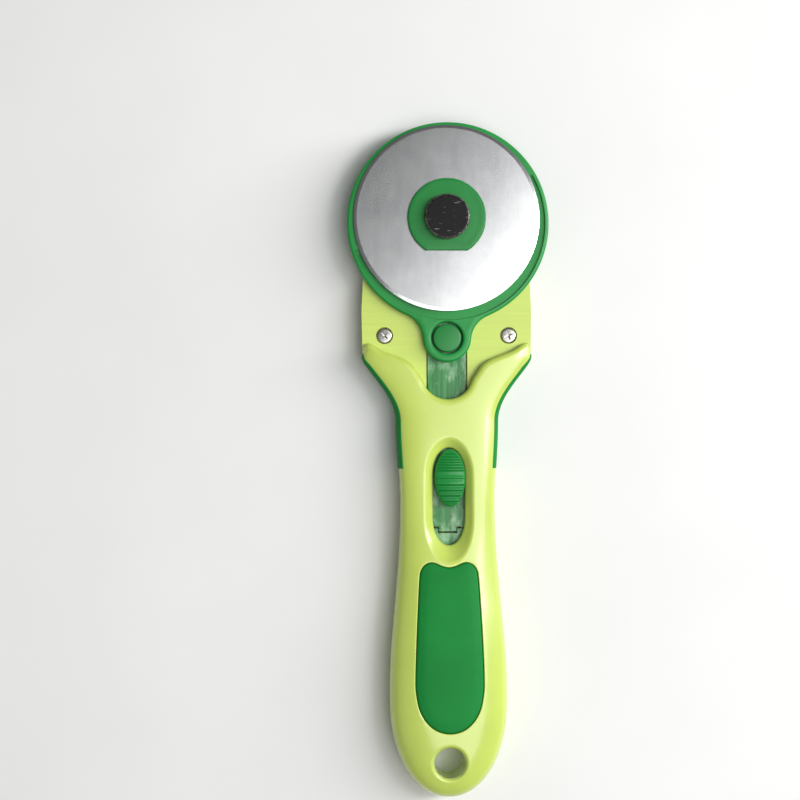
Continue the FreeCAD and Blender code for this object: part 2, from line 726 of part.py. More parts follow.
class Handle:
    """The handle's outer form as sections across Y, worked out from the sheet."""

    def __init__(self):
        self.wing, self.shoulder = val(wingY), val(shoulderY)
        self.shoulderEnd, self.neck = val(shoulderEndY), val(f"{windowMidY} - 1.5")
        self.butt = val(buttY)
        self.roundStart = self.butt + val("butt_length")
        self.belly = self.roundStart + 3
        self.level = val("parting_level")

    def halfWidth(self, y):
        head, end = val("head_half_width") - 0.1, val("shoulder_end_half_width")
        neck, belly = val("neck_half_width"), val("belly_half_width")
        if y > self.shoulderEnd:
            t = max(0.0, (self.shoulder - y) / (self.shoulder - self.shoulderEnd))
            return mix(head, end, smooth(t ** 0.73))
        if y > self.neck:
            return mix(end, neck, smooth((self.shoulderEnd - y) / (self.shoulderEnd - self.neck)))
        width = mix(neck, belly, smooth(((self.neck - y) / (self.neck - self.belly)) ** 1.1
                                        if y > self.belly else 1.0))
        return width * self.endFactor(y, 2.1)

    def endFactor(self, y, power):
        """Falls from 1 to 0 over the rounded butt."""
        if y >= self.roundStart:
            return 1.0
        u = min(1.0, (self.roundStart - y) / (self.roundStart - self.butt))
        return (1 - u ** power) ** (1 / power)

    def front(self, y):
        wing, neck, grip = val("wing_rise"), val("neck_rise"), val("grip_rise")
        upper = mix(wing, neck, smooth((self.shoulder - y) / (self.shoulder - self.neck)))
        return self.level + mix(upper, grip, smooth((self.neck - 4 - y) / 50))

    def back(self, y):
        return mix(val("head_back_level"), 0.0, smooth((self.shoulder - 5 - y) / 25))

    def oval(self, y, inset=0.0):
        """Half width, half height, middle level and exponent of the section at y."""
        front, back = self.front(y), self.back(y)
        tall = (front - back) / 2 * self.endFactor(y, 3.2) - inset
        squareness = val("neck_squareness"), val("grip_squareness")
        start = self.neck + val("square_reach")
        exponent = mix(*squareness, smooth((start - y) / val("square_fade")))
        return self.halfWidth(y) - inset, tall, (front + back) / 2, exponent

    def skin(self, x, y, side):
        """Level of the form's front (side 1) or back (side -1) skin at x, y."""
        wide, tall, middle, exponent = self.oval(y)
        share = max(0.0, 1 - (abs(x) / wide) ** exponent)
        return middle + side * tall * share ** (1 / exponent)

    def section(self, y, inset=0.0):
        """A closed super-ellipse across Y, square at the head and rounder at the grip."""
        wide, tall, middle, exponent = self.oval(y, inset)
        power = 2 / exponent
        count = 28
        points = []
        for step in range(count):
            turn = 2 * math.pi * step / count
            c, s = math.cos(turn), math.sin(turn)
            points.append(Vector(wide * math.copysign(abs(c) ** power, c), y,
                                 middle + tall * math.copysign(abs(s) ** power, s)))
        curve = Part.BSplineCurve()
        curve.interpolate(points, PeriodicFlag=True)
        return Part.Wire(curve.toShape())

    def stations(self):
        """Places for the sections, close together where the outline turns fast."""
        span = self.shoulder - self.shoulderEnd
        places = [self.wing + 4, self.wing, self.shoulder + 2]
        places += [self.shoulder - span * t for t in (0.0, 0.1, 0.2, 0.3, 0.41, 0.53, 0.68, 0.83, 1.0)]
        length = self.shoulderEnd - self.roundStart
        places += [self.shoulderEnd - length * t for t in (0.07, 0.16, 0.28, 0.42, 0.55, 0.7, 0.84, 0.97)]
        tip = self.roundStart - self.butt
        places += [self.roundStart - tip * t for t in (0.1, 0.3, 0.48, 0.64, 0.77, 0.87, 0.94)]
        return places

    def solid(self, inset=0.0, top=None, bottom=None):
        top = self.wing + 5 if top is None else top
        bottom = self.butt if bottom is None else bottom
        inner = [y for y in self.stations() if bottom + 0.5 < y < top - 0.5]
        first = [top] if top < self.wing + 4 else []
        last = [bottom] if bottom > self.butt + 0.5 else []
        wires = [self.section(y, inset) for y in first + inner + last]
        return Part.makeLoft(wires, True, False)

    def buttCap(self):
        """The last rounded stretch, rooted inside the main loft's flat end."""
        tip = self.roundStart - self.butt
        root = self.stations()[-1]
        places = [(root + 0.6, 0.7), (root - 0.15, 0.12)]
        places += [(self.roundStart - tip * t, 0.0) for t in (0.962, 0.98, 0.993)]
        return Part.makeLoft([self.section(y, inset) for y, inset in places], True, False)


def prism(wire, low, high):
    """A closed wire in the XY plane, extruded from one level to another."""
    face = Part.Face(wire)
    face.translate(Vector(0, 0, low))
    return face.extrude(Vector(0, 0, high - low))


def box(xLow, xHigh, yLow, yHigh, zLow, zHigh):
    return Part.makeBox(xHigh - xLow, yHigh - yLow, zHigh - zLow, Vector(xLow, yLow, zLow))


def post(x, y, radius, low, high):
    return Part.makeCylinder(radius, high - low, Vector(x, y, low))


def endedOval(half, top, bottom, end):
    """Long oval along Y: straight sides and half-elliptical ends."""
    high = Part.Ellipse(Vector(0, top, 0), Vector(half, top - end, 0), Vector(0, top - end, 0))
    low = Part.Ellipse(Vector(0, bottom, 0), Vector(-half, bottom + end, 0), Vector(0, bottom + end, 0))
    if end < half:
        high = Part.Ellipse(Vector(half, top - end, 0), Vector(0, top, 0), Vector(0, top - end, 0))
        low = Part.Ellipse(Vector(half, bottom + end, 0), Vector(0, bottom, 0),
                           Vector(0, bottom + end, 0))
    right, left = Vector(half, top - end, 0), Vector(-half, top - end, 0)
    lowRight, lowLeft = Vector(half, bottom + end, 0), Vector(-half, bottom + end, 0)

    def halfArc(ellipse, start, finish, via):
        a, b = ellipse.parameter(start), ellipse.parameter(finish)
        if b < a:
            b += 2 * math.pi
        arc = Part.ArcOfEllipse(ellipse, a, b)
        middle = arc.value((arc.FirstParameter + arc.LastParameter) / 2)
        if (middle - via).Length > 0.5:
            arc = Part.ArcOfEllipse(ellipse, b, a + 2 * math.pi)
        return arc.toShape()

    edges = [halfArc(high, right, left, Vector(0, top, 0)),
             Part.makeLine(left, lowLeft),
             halfArc(low, lowLeft, lowRight, Vector(0, bottom, 0)),
             Part.makeLine(lowRight, right)]
    return Part.Wire(Part.__sortEdges__(edges))


def arcThrough(a, b, c):
    return Part.Arc(Vector(*a, 0), Vector(*b, 0), Vector(*c, 0)).toShape()


def inlayWire(fit=0.0):
    """Grip inlay: two soft humps at the top, nearly straight sides, a round bottom."""
    top, bottom = val(inlayTopY), val(inlayBottomY)
    upper, half = val("inlay_top_half_width"), val("inlay_half_width")
    hump = val("inlay_hump")
    x1 = upper * 0.57
    sideTop, sideLow = top - 4.2, bottom + 15
    edges = [arcThrough((x1, top), (0, top - hump), (-x1, top)),
             arcThrough((-x1, top), (-upper * 0.9, top - 1.3), (-upper, sideTop)),
             Part.makeLine(Vector(-upper, sideTop, 0), Vector(-half, sideLow, 0)),
             arcThrough((-half, sideLow), (-half * 0.74, bottom + 4.6), (0, bottom)),
             arcThrough((0, bottom), (half * 0.74, bottom + 4.6), (half, sideLow)),
             Part.makeLine(Vector(half, sideLow, 0), Vector(upper, sideTop, 0)),
             arcThrough((upper, sideTop), (upper * 0.9, top - 1.3), (x1, top))]
    wire = Part.Wire(Part.__sortEdges__(edges))
    if fit:
        wire = wire.makeOffset2D(fit)
    return wire


def valleyWire():
    """Everything above the wings' edge: a U-shaped valley that opens in an S-curve each side."""
    r, centreY = val(valleyRadius), val(valleyY)
    wing, side = val(wingY), val("head_half_width")
    lipX, lipY = r + 2.6, centreY + 2.1
    farX, farY = side - 9.7, wing - 4.2
    start = (r * math.cos(math.radians(8)), centreY - r * math.sin(math.radians(8)))
    curves = []
    curves.append(arcThrough((-start[0], start[1]), (0, centreY - r), start))
    for sign in (1, -1):
        shoulder = Part.BSplineCurve()
        points = [(start[0], start[1]), (lipX - 0.6, lipY), (r + 5.3, centreY + 4.6), (farX, farY),
                  (side - 5.6, wing - 2.7), (side - 2.1, wing - 0.6), (side + 3, wing + 1.2)]
        shoulder.interpolate([Vector(sign * x, y, 0) for x, y in points],
                             InitialTangent=Vector(sign * 0.14, 1, 0),
                             FinalTangent=Vector(sign * 1, 0.3, 0))
        curves.append(shoulder.toShape())
    high = wing + 20
    right, left = Vector(side + 3, wing + 1.2, 0), Vector(-side - 3, wing + 1.2, 0)
    curves.append(Part.makePolygon([right, Vector(side + 3, high, 0), Vector(-side - 3, high, 0), left]))
    edges = []
    for curve in curves:
        edges.extend(curve.Edges)
    return Part.Wire(Part.__sortEdges__(edges))


def frontInlayZone(fit=0.0):
    return prism(inlayWire(fit), val(parting), 40)


def backInlayZone(fit=0.0):
    return prism(inlayWire(fit), -20, val(parting) - 3)


def cushionZone(handle, sign, grow=0.0):
    """The strip of the form's side wall that the finger cushion takes up."""
    start = val(f"{bossY} - cushion_reach") + grow
    end = start - val("cushion_length") - 2 * grow
    depth = val("cushion_depth") + grow
    inner, count = [], 16
    for step in range(count + 1):
        y = mix(start, end, step / count)
        fade = min(1.0, (start - y) / 4 + 0.15)
        inner.append(Vector(sign * (handle.halfWidth(y) - depth * fade), y, 0))
    curve = Part.BSplineCurve()
    curve.interpolate(inner)
    far = sign * (val("head_half_width") + 8)
    outer = Part.makePolygon([inner[-1], Vector(far, end, 0), Vector(far, start, 0), inner[0]])
    wire = Part.Wire(Part.__sortEdges__([curve.toShape()] + outer.Edges))
    return prism(wire, val("cushion_low") - grow, val("cushion_high") + grow)


handle = Handle()
form = handle.solid().fuse(handle.buttCap())
skinned = handle.solid(inset=val("inlay_depth"), top=val(inlayTopY) + 6, bottom=val(inlayBottomY) - 4)
cavityTop, cavityBottom = val(shoulderEndY) + 12, val(inlayBottomY) - 1
cavity = handle.solid(inset=val("wall"), top=cavityTop, bottom=cavityBottom)
wide = val("head_half_width") + 10


def frontHalf(shape):
    return shape.common(box(-wide, wide, val(buttY) - 5, 40, val(parting), 60))


def backHalf(shape):
    return shape.common(box(-wide, wide, val(buttY) - 5, 40, -20, val(parting)))


def screwPlaces():
    """Shell screws: one pair beside the strip and one low in the grip."""
    x = val(shellScrewX)
    return [(-x, val(shellScrewHighY)), (x, val(shellScrewHighY)), (0, val(shellScrewLowY))]


def dishCutter():
    """The sloped hollow round the window, wide at the skin and narrow at its floor."""
    top = val(windowTopY) + val("dish_margin") - val("dish_shift")
    bottom = val(windowBottomY) - val("dish_margin") - val("dish_shift")
    half, end = val("dish_half_width"), val("dish_end")
    windowHalf, windowEnd = val("window_half_width"), val("window_end")
    floor = endedOval(windowHalf, val(windowTopY), val(windowBottomY), windowEnd)
    rim = endedOval(half, top, bottom, end)
    floor.translate(Vector(0, 0, val(dishFloor)))
    rim.translate(Vector(0, 0, val("parting_level + neck_rise") + 0.4))
    cone = Part.makeLoft([floor, rim], True, True)
    return cone.fuse(Part.Face(rim).extrude(Vector(0, 0, val("dish_clear"))))


def makeFrontShell():
    part = frontHalf(form)
    part = part.cut(prism(valleyWire(), val(parting) - 1, 60))
    part = part.cut(dishCutter())
    window = endedOval(val("window_half_width"), val(windowTopY), val(windowBottomY), val("window_end"))
    inside = cavity.common(box(-wide, wide, val(buttY), cavityTop, 0, 60))
    roofHalf, margin = val("roof_half_width"), val("roof_margin")
    roof = box(-roofHalf, roofHalf, val(windowBottomY) - margin, val(windowTopY) + margin,
               val(parting) - 1, 60)
    part = part.cut(inside.cut(roof))
    part = part.cut(prism(window, val(parting) - 1, 60))
    for x, y in screwPlaces():
        radius, tip = val("boss_outer_radius"), val("parting_level + shell_screw_bite")
        part = part.fuse(post(x, y, radius, val(parting), handle.skin(abs(x) + radius, y, 1) - 0.6))
        part = part.cut(post(x, y, val("screw_shank_diameter / 2 + press_clearance"), val(parting) - 1,
                             tip + val("layer_gap")))
    part = part.cut(frontInlayZone(val("inlay_fit")).cut(skinned))
    part = part.cut(post(0, val(hangY), sleeveRadius() + val("press_clearance"), 0, hangTop()))
    part = part.cut(post(0, val(hangY), val("hang_hole_diameter / 2 + hang_lip"), 0, 60))
    for sign in (1, -1):
        part = part.cut(cushionZone(handle, sign, val("press_clearance")))
    return part.removeSplitter()


def sleeveRadius():
    return val("hang_hole_diameter / 2 + hang_sleeve")


def hangTop():
    return handle.front(val(hangY)) - val("hang_lip_depth + hang_seat")


def headSlab():
    """The back shell's flat head behind the plate, cut round the nut."""
    plate = Part.Face(plateWire()).extrude(Vector(0, 0, val(plateBack) - val("head_back_level")))
    plate.translate(Vector(0, 0, val("head_back_level")))
    low = val(shoulderY) + 2
    keep = box(-wide, wide, low, 40, 0, 20)
    nutRoom = post(0, 0, val("nut_diameter / 2 + nut_room"), -5, 30)
    top = box(-wide, wide, -val("nut_diameter / 2"), 60, -5, 30)
    return plate.common(keep).cut(nutRoom).cut(top)


def plateWire():
    """The head plate's outer edge, without its open middle."""
    side = val("head_half_width")
    topY, wing = val(plateTopY), val(wingY)
    low = val(plateLowY)
    points = [(side - 0.4, topY), (side + val("plate_side_bulge"), wing + 10), (side, wing),
              (side, low - 2)]
    corners = points + [(-x, y) for x, y in reversed(points)]
    loop = [Vector(x, y, 0) for x, y in corners]
    return Part.makePolygon(loop + [loop[0]])


def makeBackShell():
    part = backHalf(form).common(box(-wide, wide, val(buttY) - 5, val(shoulderY) + 2.5, -20, 60))
    part = part.fuse(headSlab())
    channel = val("strip_width / 2 + strip_side_clearance")
    inside = backHalf(cavity)
    part = part.cut(inside)
    low, high = val(railEndY), val(legEndY) - 0.2
    shelf, foot = val(stripBack) - 0.1, val("wall") - 0.4
    for sign in (1, -1):
        inner, outer = sorted((sign * (channel + 0.05), sign * (channel + val("rail_width"))))
        rail = box(inner, outer, low, high, foot, val(parting))
        ledgeIn, ledgeOut = sorted((sign * (channel - val("rail_shelf")), sign * (channel + 0.2)))
        part = part.fuse(rail.fuse(box(ledgeIn, ledgeOut, low, high, foot, shelf)))
    strip = box(-channel, channel, low, val(stripStartY) + 0.4, shelf, val(parting) + 1)
    part = part.cut(strip)
    part = part.cut(platePocket())
    for sign in (1, -1):
        x = sign * val("screw_spacing / 2")
        part = part.fuse(post(x, val(screwY), val("screw_post_radius"), val("screw_post_low"),
                              val(plateBack)))
        insertLow = val(plateBack) - val("screw_insert_height")
        part = part.cut(post(x, val(screwY), val("screw_insert_diameter / 2 + press_clearance"),
                             insertLow, 20))
    for x, y in screwPlaces():
        radius = val("boss_outer_radius")
        part = part.fuse(post(x, y, radius, handle.skin(abs(x) + radius, y, -1) + 0.35, val(parting)))
        part = part.cut(post(x, y, val("screw_shank_diameter / 2 + screw_clearance"), -5, 30))
        part = part.cut(post(x, y, val("screw_head_diameter / 2 + layer_gap"), -5,
                             val("shell_screw_seat")))
    part = part.cut(backInlayZone(val("inlay_fit")).cut(skinned))
    part = part.fuse(post(0, val(hangY), sleeveRadius(), val(parting) - 4, hangTop()))
    part = part.cut(post(0, val(hangY), val("hang_hole_diameter / 2"), -5, 40))
    lip = val("hang_hole_diameter / 2 + hang_lip")
    part = part.cut(post(0, val(hangY), lip, -5, val("hang_lip_depth")))
    for sign in (1, -1):
        part = part.cut(cushionZone(handle, sign, val("press_clearance")))
    return part.removeSplitter()


def platePocket():
    """Room for the plate in the back shell, with a slight clearance."""
    side = val("head_half_width") + 2
    low, gap = val(plateLowY), val("layer_gap")
    leg = val("leg_outer") + gap
    head = box(-side, side, low - gap, 40, val(plateBack), 60)
    shoulderX = val("head_half_width") - 3 + gap
    points = [(shoulderX, low + 1), (shoulderX, low - gap), (leg, low - 6 - gap),
              (leg, val(legEndY) - gap)]
    corners = points + [(-x, y) for x, y in reversed(points)]
    loop = [Vector(x, y, 0) for x, y in corners]
    legs = prism(Part.makePolygon(loop + [loop[0]]), val(plateBack), 60)
    return head.fuse(legs)


def makeInlay(front):
    zone = frontInlayZone() if front else backInlayZone()
    return form.common(zone).cut(skinned)


def makeCushion(sign):
    return form.common(cushionZone(handle, sign))


# ---------------------------------------------------------------- screws

def crossScrew(x, y, seat, tip, facing, turn):
    """Pan-head cross screw; facing is 1 when its head looks along +Z, -1 along -Z."""
    height = val("screw_head_height")
    head = post(x, y, val("screw_head_diameter / 2"), min(seat, seat + facing * height),
                max(seat, seat + facing * height))
    rim = [edge for edge in head.Edges if isinstance(edge.Curve, Part.Circle)
           and abs(edge.Curve.Center.z - (seat + facing * height)) < 0.01]
    head = head.makeFillet(0.35, rim)
    shank = post(x, y, val("screw_shank_diameter / 2"), min(seat, tip), max(seat, tip))
    screw = head.fuse(shank)
    face = seat + facing * height
    for quarter in (0, 90):
        long, thin, deep = val("cross_length"), val("cross_width"), val("cross_depth")
        bar = Part.makeBox(long, thin, 2 * deep, Vector(-long / 2, -thin / 2, -deep))
        bar.rotate(Vector(0, 0, 0), Vector(0, 0, 1), turn + quarter)
        bar.translate(Vector(x, y, face))
        screw = screw.cut(bar)
    return screw.removeSplitter()


def makeHeadScrews():
    seat = val(parting) - val("screw_head_height")
    tip = val("head_back_level") + 1.6
    x = val("screw_spacing / 2")
    screws = [crossScrew(sign * x, val(screwY), seat, tip, 1, turn) for sign, turn in ((-1, 45), (1, 20))]
    return Part.makeCompound(screws)


def makeHeadInserts():
    low, high = val(plateBack) - val("screw_insert_height"), val(plateBack)
    inserts = []
    for sign in (-1, 1):
        x = sign * val("screw_spacing / 2")
        outer = post(x, val(screwY), val("screw_insert_diameter / 2"), low, high)
        bore = post(x, val(screwY), val("screw_shank_diameter / 2 + press_clearance"), -1, 20)
        inserts.append(outer.cut(bore))
    return Part.makeCompound(inserts)


def makeShellScrews():
    screws = []
    for x, y in screwPlaces():
        tip = val("parting_level + shell_screw_bite")
        screws.append(crossScrew(x, y, val("shell_screw_seat"), tip, -1, 0))
    return Part.makeCompound(screws)


def feature(label, shape):
    item = doc.addObject("Part::Feature", label)
    item.Label = label
    item.Shape = shape
    return item


# ---------------------------------------------------------------- build and write

nodes = [makeBlade(), makeAxleBolt(), makeHubWasher(), makeWaveWasher(), makeSlipWasher(),
         makeNutKnob(), makeNutInsert(), makeHeadPlate(), makeBladeGuard(), makeGuardRivet(),
         makeSlideStrip(), makeDetentClip(), makeThumbButton()]
doc.recompute()
nodes += [
    feature("front_shell", makeFrontShell()),
    feature("back_shell", makeBackShell()),
    feature("front_grip_inlay", makeInlay(True)),
    feature("back_grip_inlay", makeInlay(False)),
    feature("left_finger_cushion", makeCushion(-1)),
    feature("right_finger_cushion", makeCushion(1)),
    feature("head_screws", makeHeadScrews()),
    feature("head_inserts", makeHeadInserts()),
    feature("shell_screws", makeShellScrews()),
]
doc.recompute()

for item in doc.Objects:
    if "Invalid" in item.State or "Error" in item.State:
        raise RuntimeError(f"{item.Label} failed: {item.State}")
os.makedirs("parts", exist_ok=True)
for node in nodes:
    shape = node.Shape
    if shape.isNull() or not shape.isValid():
        raise RuntimeError(f"{node.Label} has no valid shape")
    shape.exportStep(f"parts/{node.Label}.step")
    print(f"{node.Label}: {len(shape.Solids)} solid(s), {shape.Volume:.1f} mm3")
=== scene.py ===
import bmesh
import bpy
import json
import math
import numpy as np
from mathutils import Matrix, Vector
from mathutils.geometry import delaunay_2d_cdt


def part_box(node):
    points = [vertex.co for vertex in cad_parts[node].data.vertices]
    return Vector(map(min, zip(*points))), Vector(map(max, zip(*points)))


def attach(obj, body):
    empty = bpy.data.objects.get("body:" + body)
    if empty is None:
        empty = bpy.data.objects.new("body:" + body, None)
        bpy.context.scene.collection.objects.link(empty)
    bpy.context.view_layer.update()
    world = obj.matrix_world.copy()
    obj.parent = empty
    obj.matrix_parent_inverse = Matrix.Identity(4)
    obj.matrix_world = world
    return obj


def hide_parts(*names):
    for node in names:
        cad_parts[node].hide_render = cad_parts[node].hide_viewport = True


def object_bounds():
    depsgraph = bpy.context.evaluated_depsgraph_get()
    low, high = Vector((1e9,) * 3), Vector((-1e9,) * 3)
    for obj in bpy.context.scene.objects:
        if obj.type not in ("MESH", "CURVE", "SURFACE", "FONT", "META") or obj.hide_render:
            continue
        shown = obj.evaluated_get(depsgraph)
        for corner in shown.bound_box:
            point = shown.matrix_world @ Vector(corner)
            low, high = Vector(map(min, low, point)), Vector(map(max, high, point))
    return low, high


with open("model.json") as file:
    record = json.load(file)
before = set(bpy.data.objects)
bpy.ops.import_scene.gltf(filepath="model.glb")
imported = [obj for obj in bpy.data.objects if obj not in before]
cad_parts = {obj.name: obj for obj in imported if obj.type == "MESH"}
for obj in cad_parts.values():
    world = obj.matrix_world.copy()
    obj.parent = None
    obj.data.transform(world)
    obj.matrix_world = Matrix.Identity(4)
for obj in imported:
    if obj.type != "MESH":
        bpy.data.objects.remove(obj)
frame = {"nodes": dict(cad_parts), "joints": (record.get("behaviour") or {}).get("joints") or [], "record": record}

cadLow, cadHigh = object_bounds()
mm = 0.001
sharpAngle = 38
scene = bpy.context.scene


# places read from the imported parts, in millimetres
def span(node):
    low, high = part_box(node)
    return np.array(low) / mm, np.array(high) / mm


def middle(node):
    low, high = span(node)
    return (low + high) / 2


def mountPlace(name):
    for mount in frame["record"]["mounts"]:
        if mount["name"] == name:
            return np.array(mount["pos_m"]) / mm
    raise KeyError(name)


bossY = middle("guard_rivet")[1]
hangY = mountPlace("hang_hole")[1]
partingZ = span("head_plate")[1][2]
stripTop = span("slide_strip")[1][2]
guardTravel = next(j["range_m"][1] for j in frame["joints"] if j["name"] == "guard_slide") / mm

# outline and section of the handle, in millimetres; places along Y count down from the guard's boss
handle = {
    "headHalf": 27.2, "shoulderEndHalf": 16.3, "neckHalf": 15.24, "bellyHalf": 18.93,
    "wingDown": 1.3, "shoulderDown": 6.3, "shoulderLength": 20.6, "neckDown": 52.3,
    "buttMargin": 11.5, "buttLength": 31.0, "bellyRun": 3.0,
    "wingRise": 3.9, "neckRise": 4.6, "gripRise": 8.0, "headBack": 3.0,
    "headExponent": 5.0, "gripExponent": 2.8, "squareReach": 13.0, "squareFade": 45.0,
    "gripDelay": 4.0, "gripRun": 50.0, "backDelay": 5.0, "backRun": 25.0,
    "planPower": 2.1, "sidePower": 3.2,
}
wingY = bossY - handle["wingDown"]
shoulderY = bossY - handle["shoulderDown"]
shoulderEndY = shoulderY - handle["shoulderLength"]
neckY = bossY - handle["neckDown"]
buttY = hangY - handle["buttMargin"]
roundY = buttY + handle["buttLength"]
bellyY = roundY + handle["bellyRun"]


def smooth(t):
    t = np.clip(t, 0.0, 1.0)
    return t * t * (3 - 2 * t)


def mix(a, b, t):
    return a + (b - a) * t


def halfWidth(y):
    y = np.asarray(y, float)
    head, end = handle["headHalf"], handle["shoulderEndHalf"]
    neck, belly = handle["neckHalf"], handle["bellyHalf"]
    shoulder = mix(head, end, smooth(np.maximum(0, (shoulderY - y) / (shoulderY - shoulderEndY)) ** 0.73))
    waist = mix(end, neck, smooth((shoulderEndY - y) / (shoulderEndY - neckY)))
    grip = mix(neck, belly, smooth(np.clip((neckY - y) / (neckY - bellyY), 0, 1) ** 1.1))
    width = np.where(y > shoulderEndY, shoulder, np.where(y > neckY, waist, grip))
    return width * endFactor(y, handle["planPower"])


def endFactor(y, power):
    u = np.clip((roundY - y) / (roundY - buttY), 0, 1)
    return (1 - u ** power) ** (1 / power)


def section(y):
    # half width, half height, middle level and exponent of the handle's section
    y = np.asarray(y, float)
    upper = mix(handle["wingRise"], handle["neckRise"], smooth((shoulderY - y) / (shoulderY - neckY)))
    gripShare = smooth((neckY - handle["gripDelay"] - y) / handle["gripRun"])
    front = partingZ + mix(upper, handle["gripRise"], gripShare)
    back = mix(handle["headBack"], 0.0, smooth((shoulderY - handle["backDelay"] - y) / handle["backRun"]))
    tall = (front - back) / 2 * endFactor(y, handle["sidePower"])
    squareShare = smooth((neckY + handle["squareReach"] - y) / handle["squareFade"])
    exponent = mix(handle["headExponent"], handle["gripExponent"], squareShare)
    return halfWidth(y), tall, (front + back) / 2, exponent


def skinLevel(x, y, side=1):
    wide, tall, centre, power = section(y)
    share = np.clip(1 - (np.abs(x) / np.maximum(wide, 1e-6)) ** power, 0, 1)
    return centre + side * tall * share ** (1 / power)


# the skin unrolled: s runs round the section from the front's middle, v along the handle
def toUnrolled(x, y):
    x, y = np.asarray(x, float), np.asarray(y, float)
    _, tall, centre, _ = section(y)
    s = np.sign(x) * (np.abs(x) + centre + tall - skinLevel(x, y))
    u = np.clip((roundY - y) / (roundY - buttY), 0, 1)
    v = np.where(y < roundY, roundY - (roundY - buttY) * np.arcsin(u), y)
    return np.stack([s, v], -1)


def fromUnrolled(points):
    s, v = points[:, 0], points[:, 1]
    turn = np.clip((roundY - v) / (roundY - buttY), 0, math.pi / 2)
    y = np.where(v < roundY, roundY - (roundY - buttY) * np.sin(turn), v)
    wide, tall, centre, power = section(y)
    low, high = np.zeros_like(s), np.full_like(s, math.pi / 2)
    for _ in range(42):
        angle = (low + high) / 2
        reach = wide * np.cos(angle) ** (2 / power) + tall * (1 - np.sin(angle) ** (2 / power))
        tooFar = reach > np.abs(s)
        low, high = np.where(tooFar, angle, low), np.where(tooFar, high, angle)
    angle = (low + high) / 2
    x = np.sign(s) * wide * np.cos(angle) ** (2 / power)
    return np.stack([x, y, centre + tall * np.sin(angle) ** (2 / power)], -1)


# outlines in the plan
def resample(points, step, closed=True):
    points = np.asarray(points, float)
    if closed:
        points = np.vstack([points, points[:1]])
    lengths = np.r_[0, np.cumsum(np.linalg.norm(np.diff(points, axis=0), axis=1))]
    count = max(8, int(round(lengths[-1] / step)))
    at = np.linspace(0, lengths[-1], count + 1)
    line = np.stack([np.interp(at, lengths, points[:, k]) for k in range(points.shape[1])], -1)
    return line[:-1] if closed else line


def softLine(points, perSpan=24, closed=False):
    # Catmull-Rom curve through the points
    p = np.asarray(points, float)
    p = np.vstack([p[-1], p, p[0], p[1]]) if closed else np.vstack([2 * p[0] - p[1], p, 2 * p[-1] - p[-2]])
    out = []
    t = np.linspace(0, 1, perSpan, endpoint=False)[:, None]
    for k in range(1, len(p) - 2):
        a, b, c, d = p[k - 1], p[k], p[k + 1], p[k + 2]
        out.append(0.5 * (2 * b + (c - a) * t + (2 * a - 5 * b + 4 * c - d) * t ** 2
                          + (3 * b - a - 3 * c + d) * t ** 3))
    if not closed:
        out.append(p[-2][None])
    return np.vstack(out)


def arcLine(cx, cy, radius, start, end, count=48):
    angle = np.radians(np.linspace(start, end, count))
    return np.stack([cx + radius * np.cos(angle), cy + radius * np.sin(angle)], -1)


def ovalLine(half, top, bottom, end, count=40):
    # straight sides with half-elliptical ends, counter-clockwise from the right side
    angle = np.linspace(0, math.pi, count)
    upper = np.stack([half * np.cos(angle), top - end + end * np.sin(angle)], -1)
    lower = np.stack([-half * np.cos(angle), bottom + end - end * np.sin(angle)], -1)
    return np.vstack([upper, lower])


def signedArea(loop):
    x, y = loop[:, 0], loop[:, 1]
    return 0.5 * np.sum(x * np.roll(y, -1) - np.roll(x, -1) * y)


def offsetLoop(loop, distance):
    # moves a closed loop to its left by the distance (inwards when it runs counter-clockwise)
    ahead, behind = np.roll(loop, -1, axis=0), np.roll(loop, 1, axis=0)
    along = ahead - behind
    along /= np.maximum(np.linalg.norm(along, axis=1), 1e-9)[:, None]
    return loop + np.stack([-along[:, 1], along[:, 0]], -1) * distance


def counterClockwise(loop):
    return loop if signedArea(loop) > 0 else loop[::-1]


def loopDistance(points, loop, closed=True):
    start = loop if closed else loop[:-1]
    end = np.roll(loop, -1, axis=0) if closed else loop[1:]
    best = np.full(len(points), 1e9)
    for begin in range(0, len(points), 4000):
        p = points[begin:begin + 4000, None, :]
        edge = (end - start)[None]
        t = np.clip(((p - start[None]) * edge).sum(-1) / np.maximum((edge ** 2).sum(-1), 1e-12), 0, 1)
        gap = np.linalg.norm(p - (start[None] + edge * t[..., None]), axis=-1)
        best[begin:begin + 4000] = gap.min(1)
    return best


def inside(points, loop):
    x, y = points[:, 0], points[:, 1]
    hit = np.zeros(len(points), bool)
    for (x1, y1), (x2, y2) in zip(loop, np.roll(loop, -1, axis=0)):
        if y1 == y2:
            continue
        crosses = (y1 > y) != (y2 > y)
        hit ^= crosses & (x < (x2 - x1) * (y - y1) / (y2 - y1) + x1)
    return hit


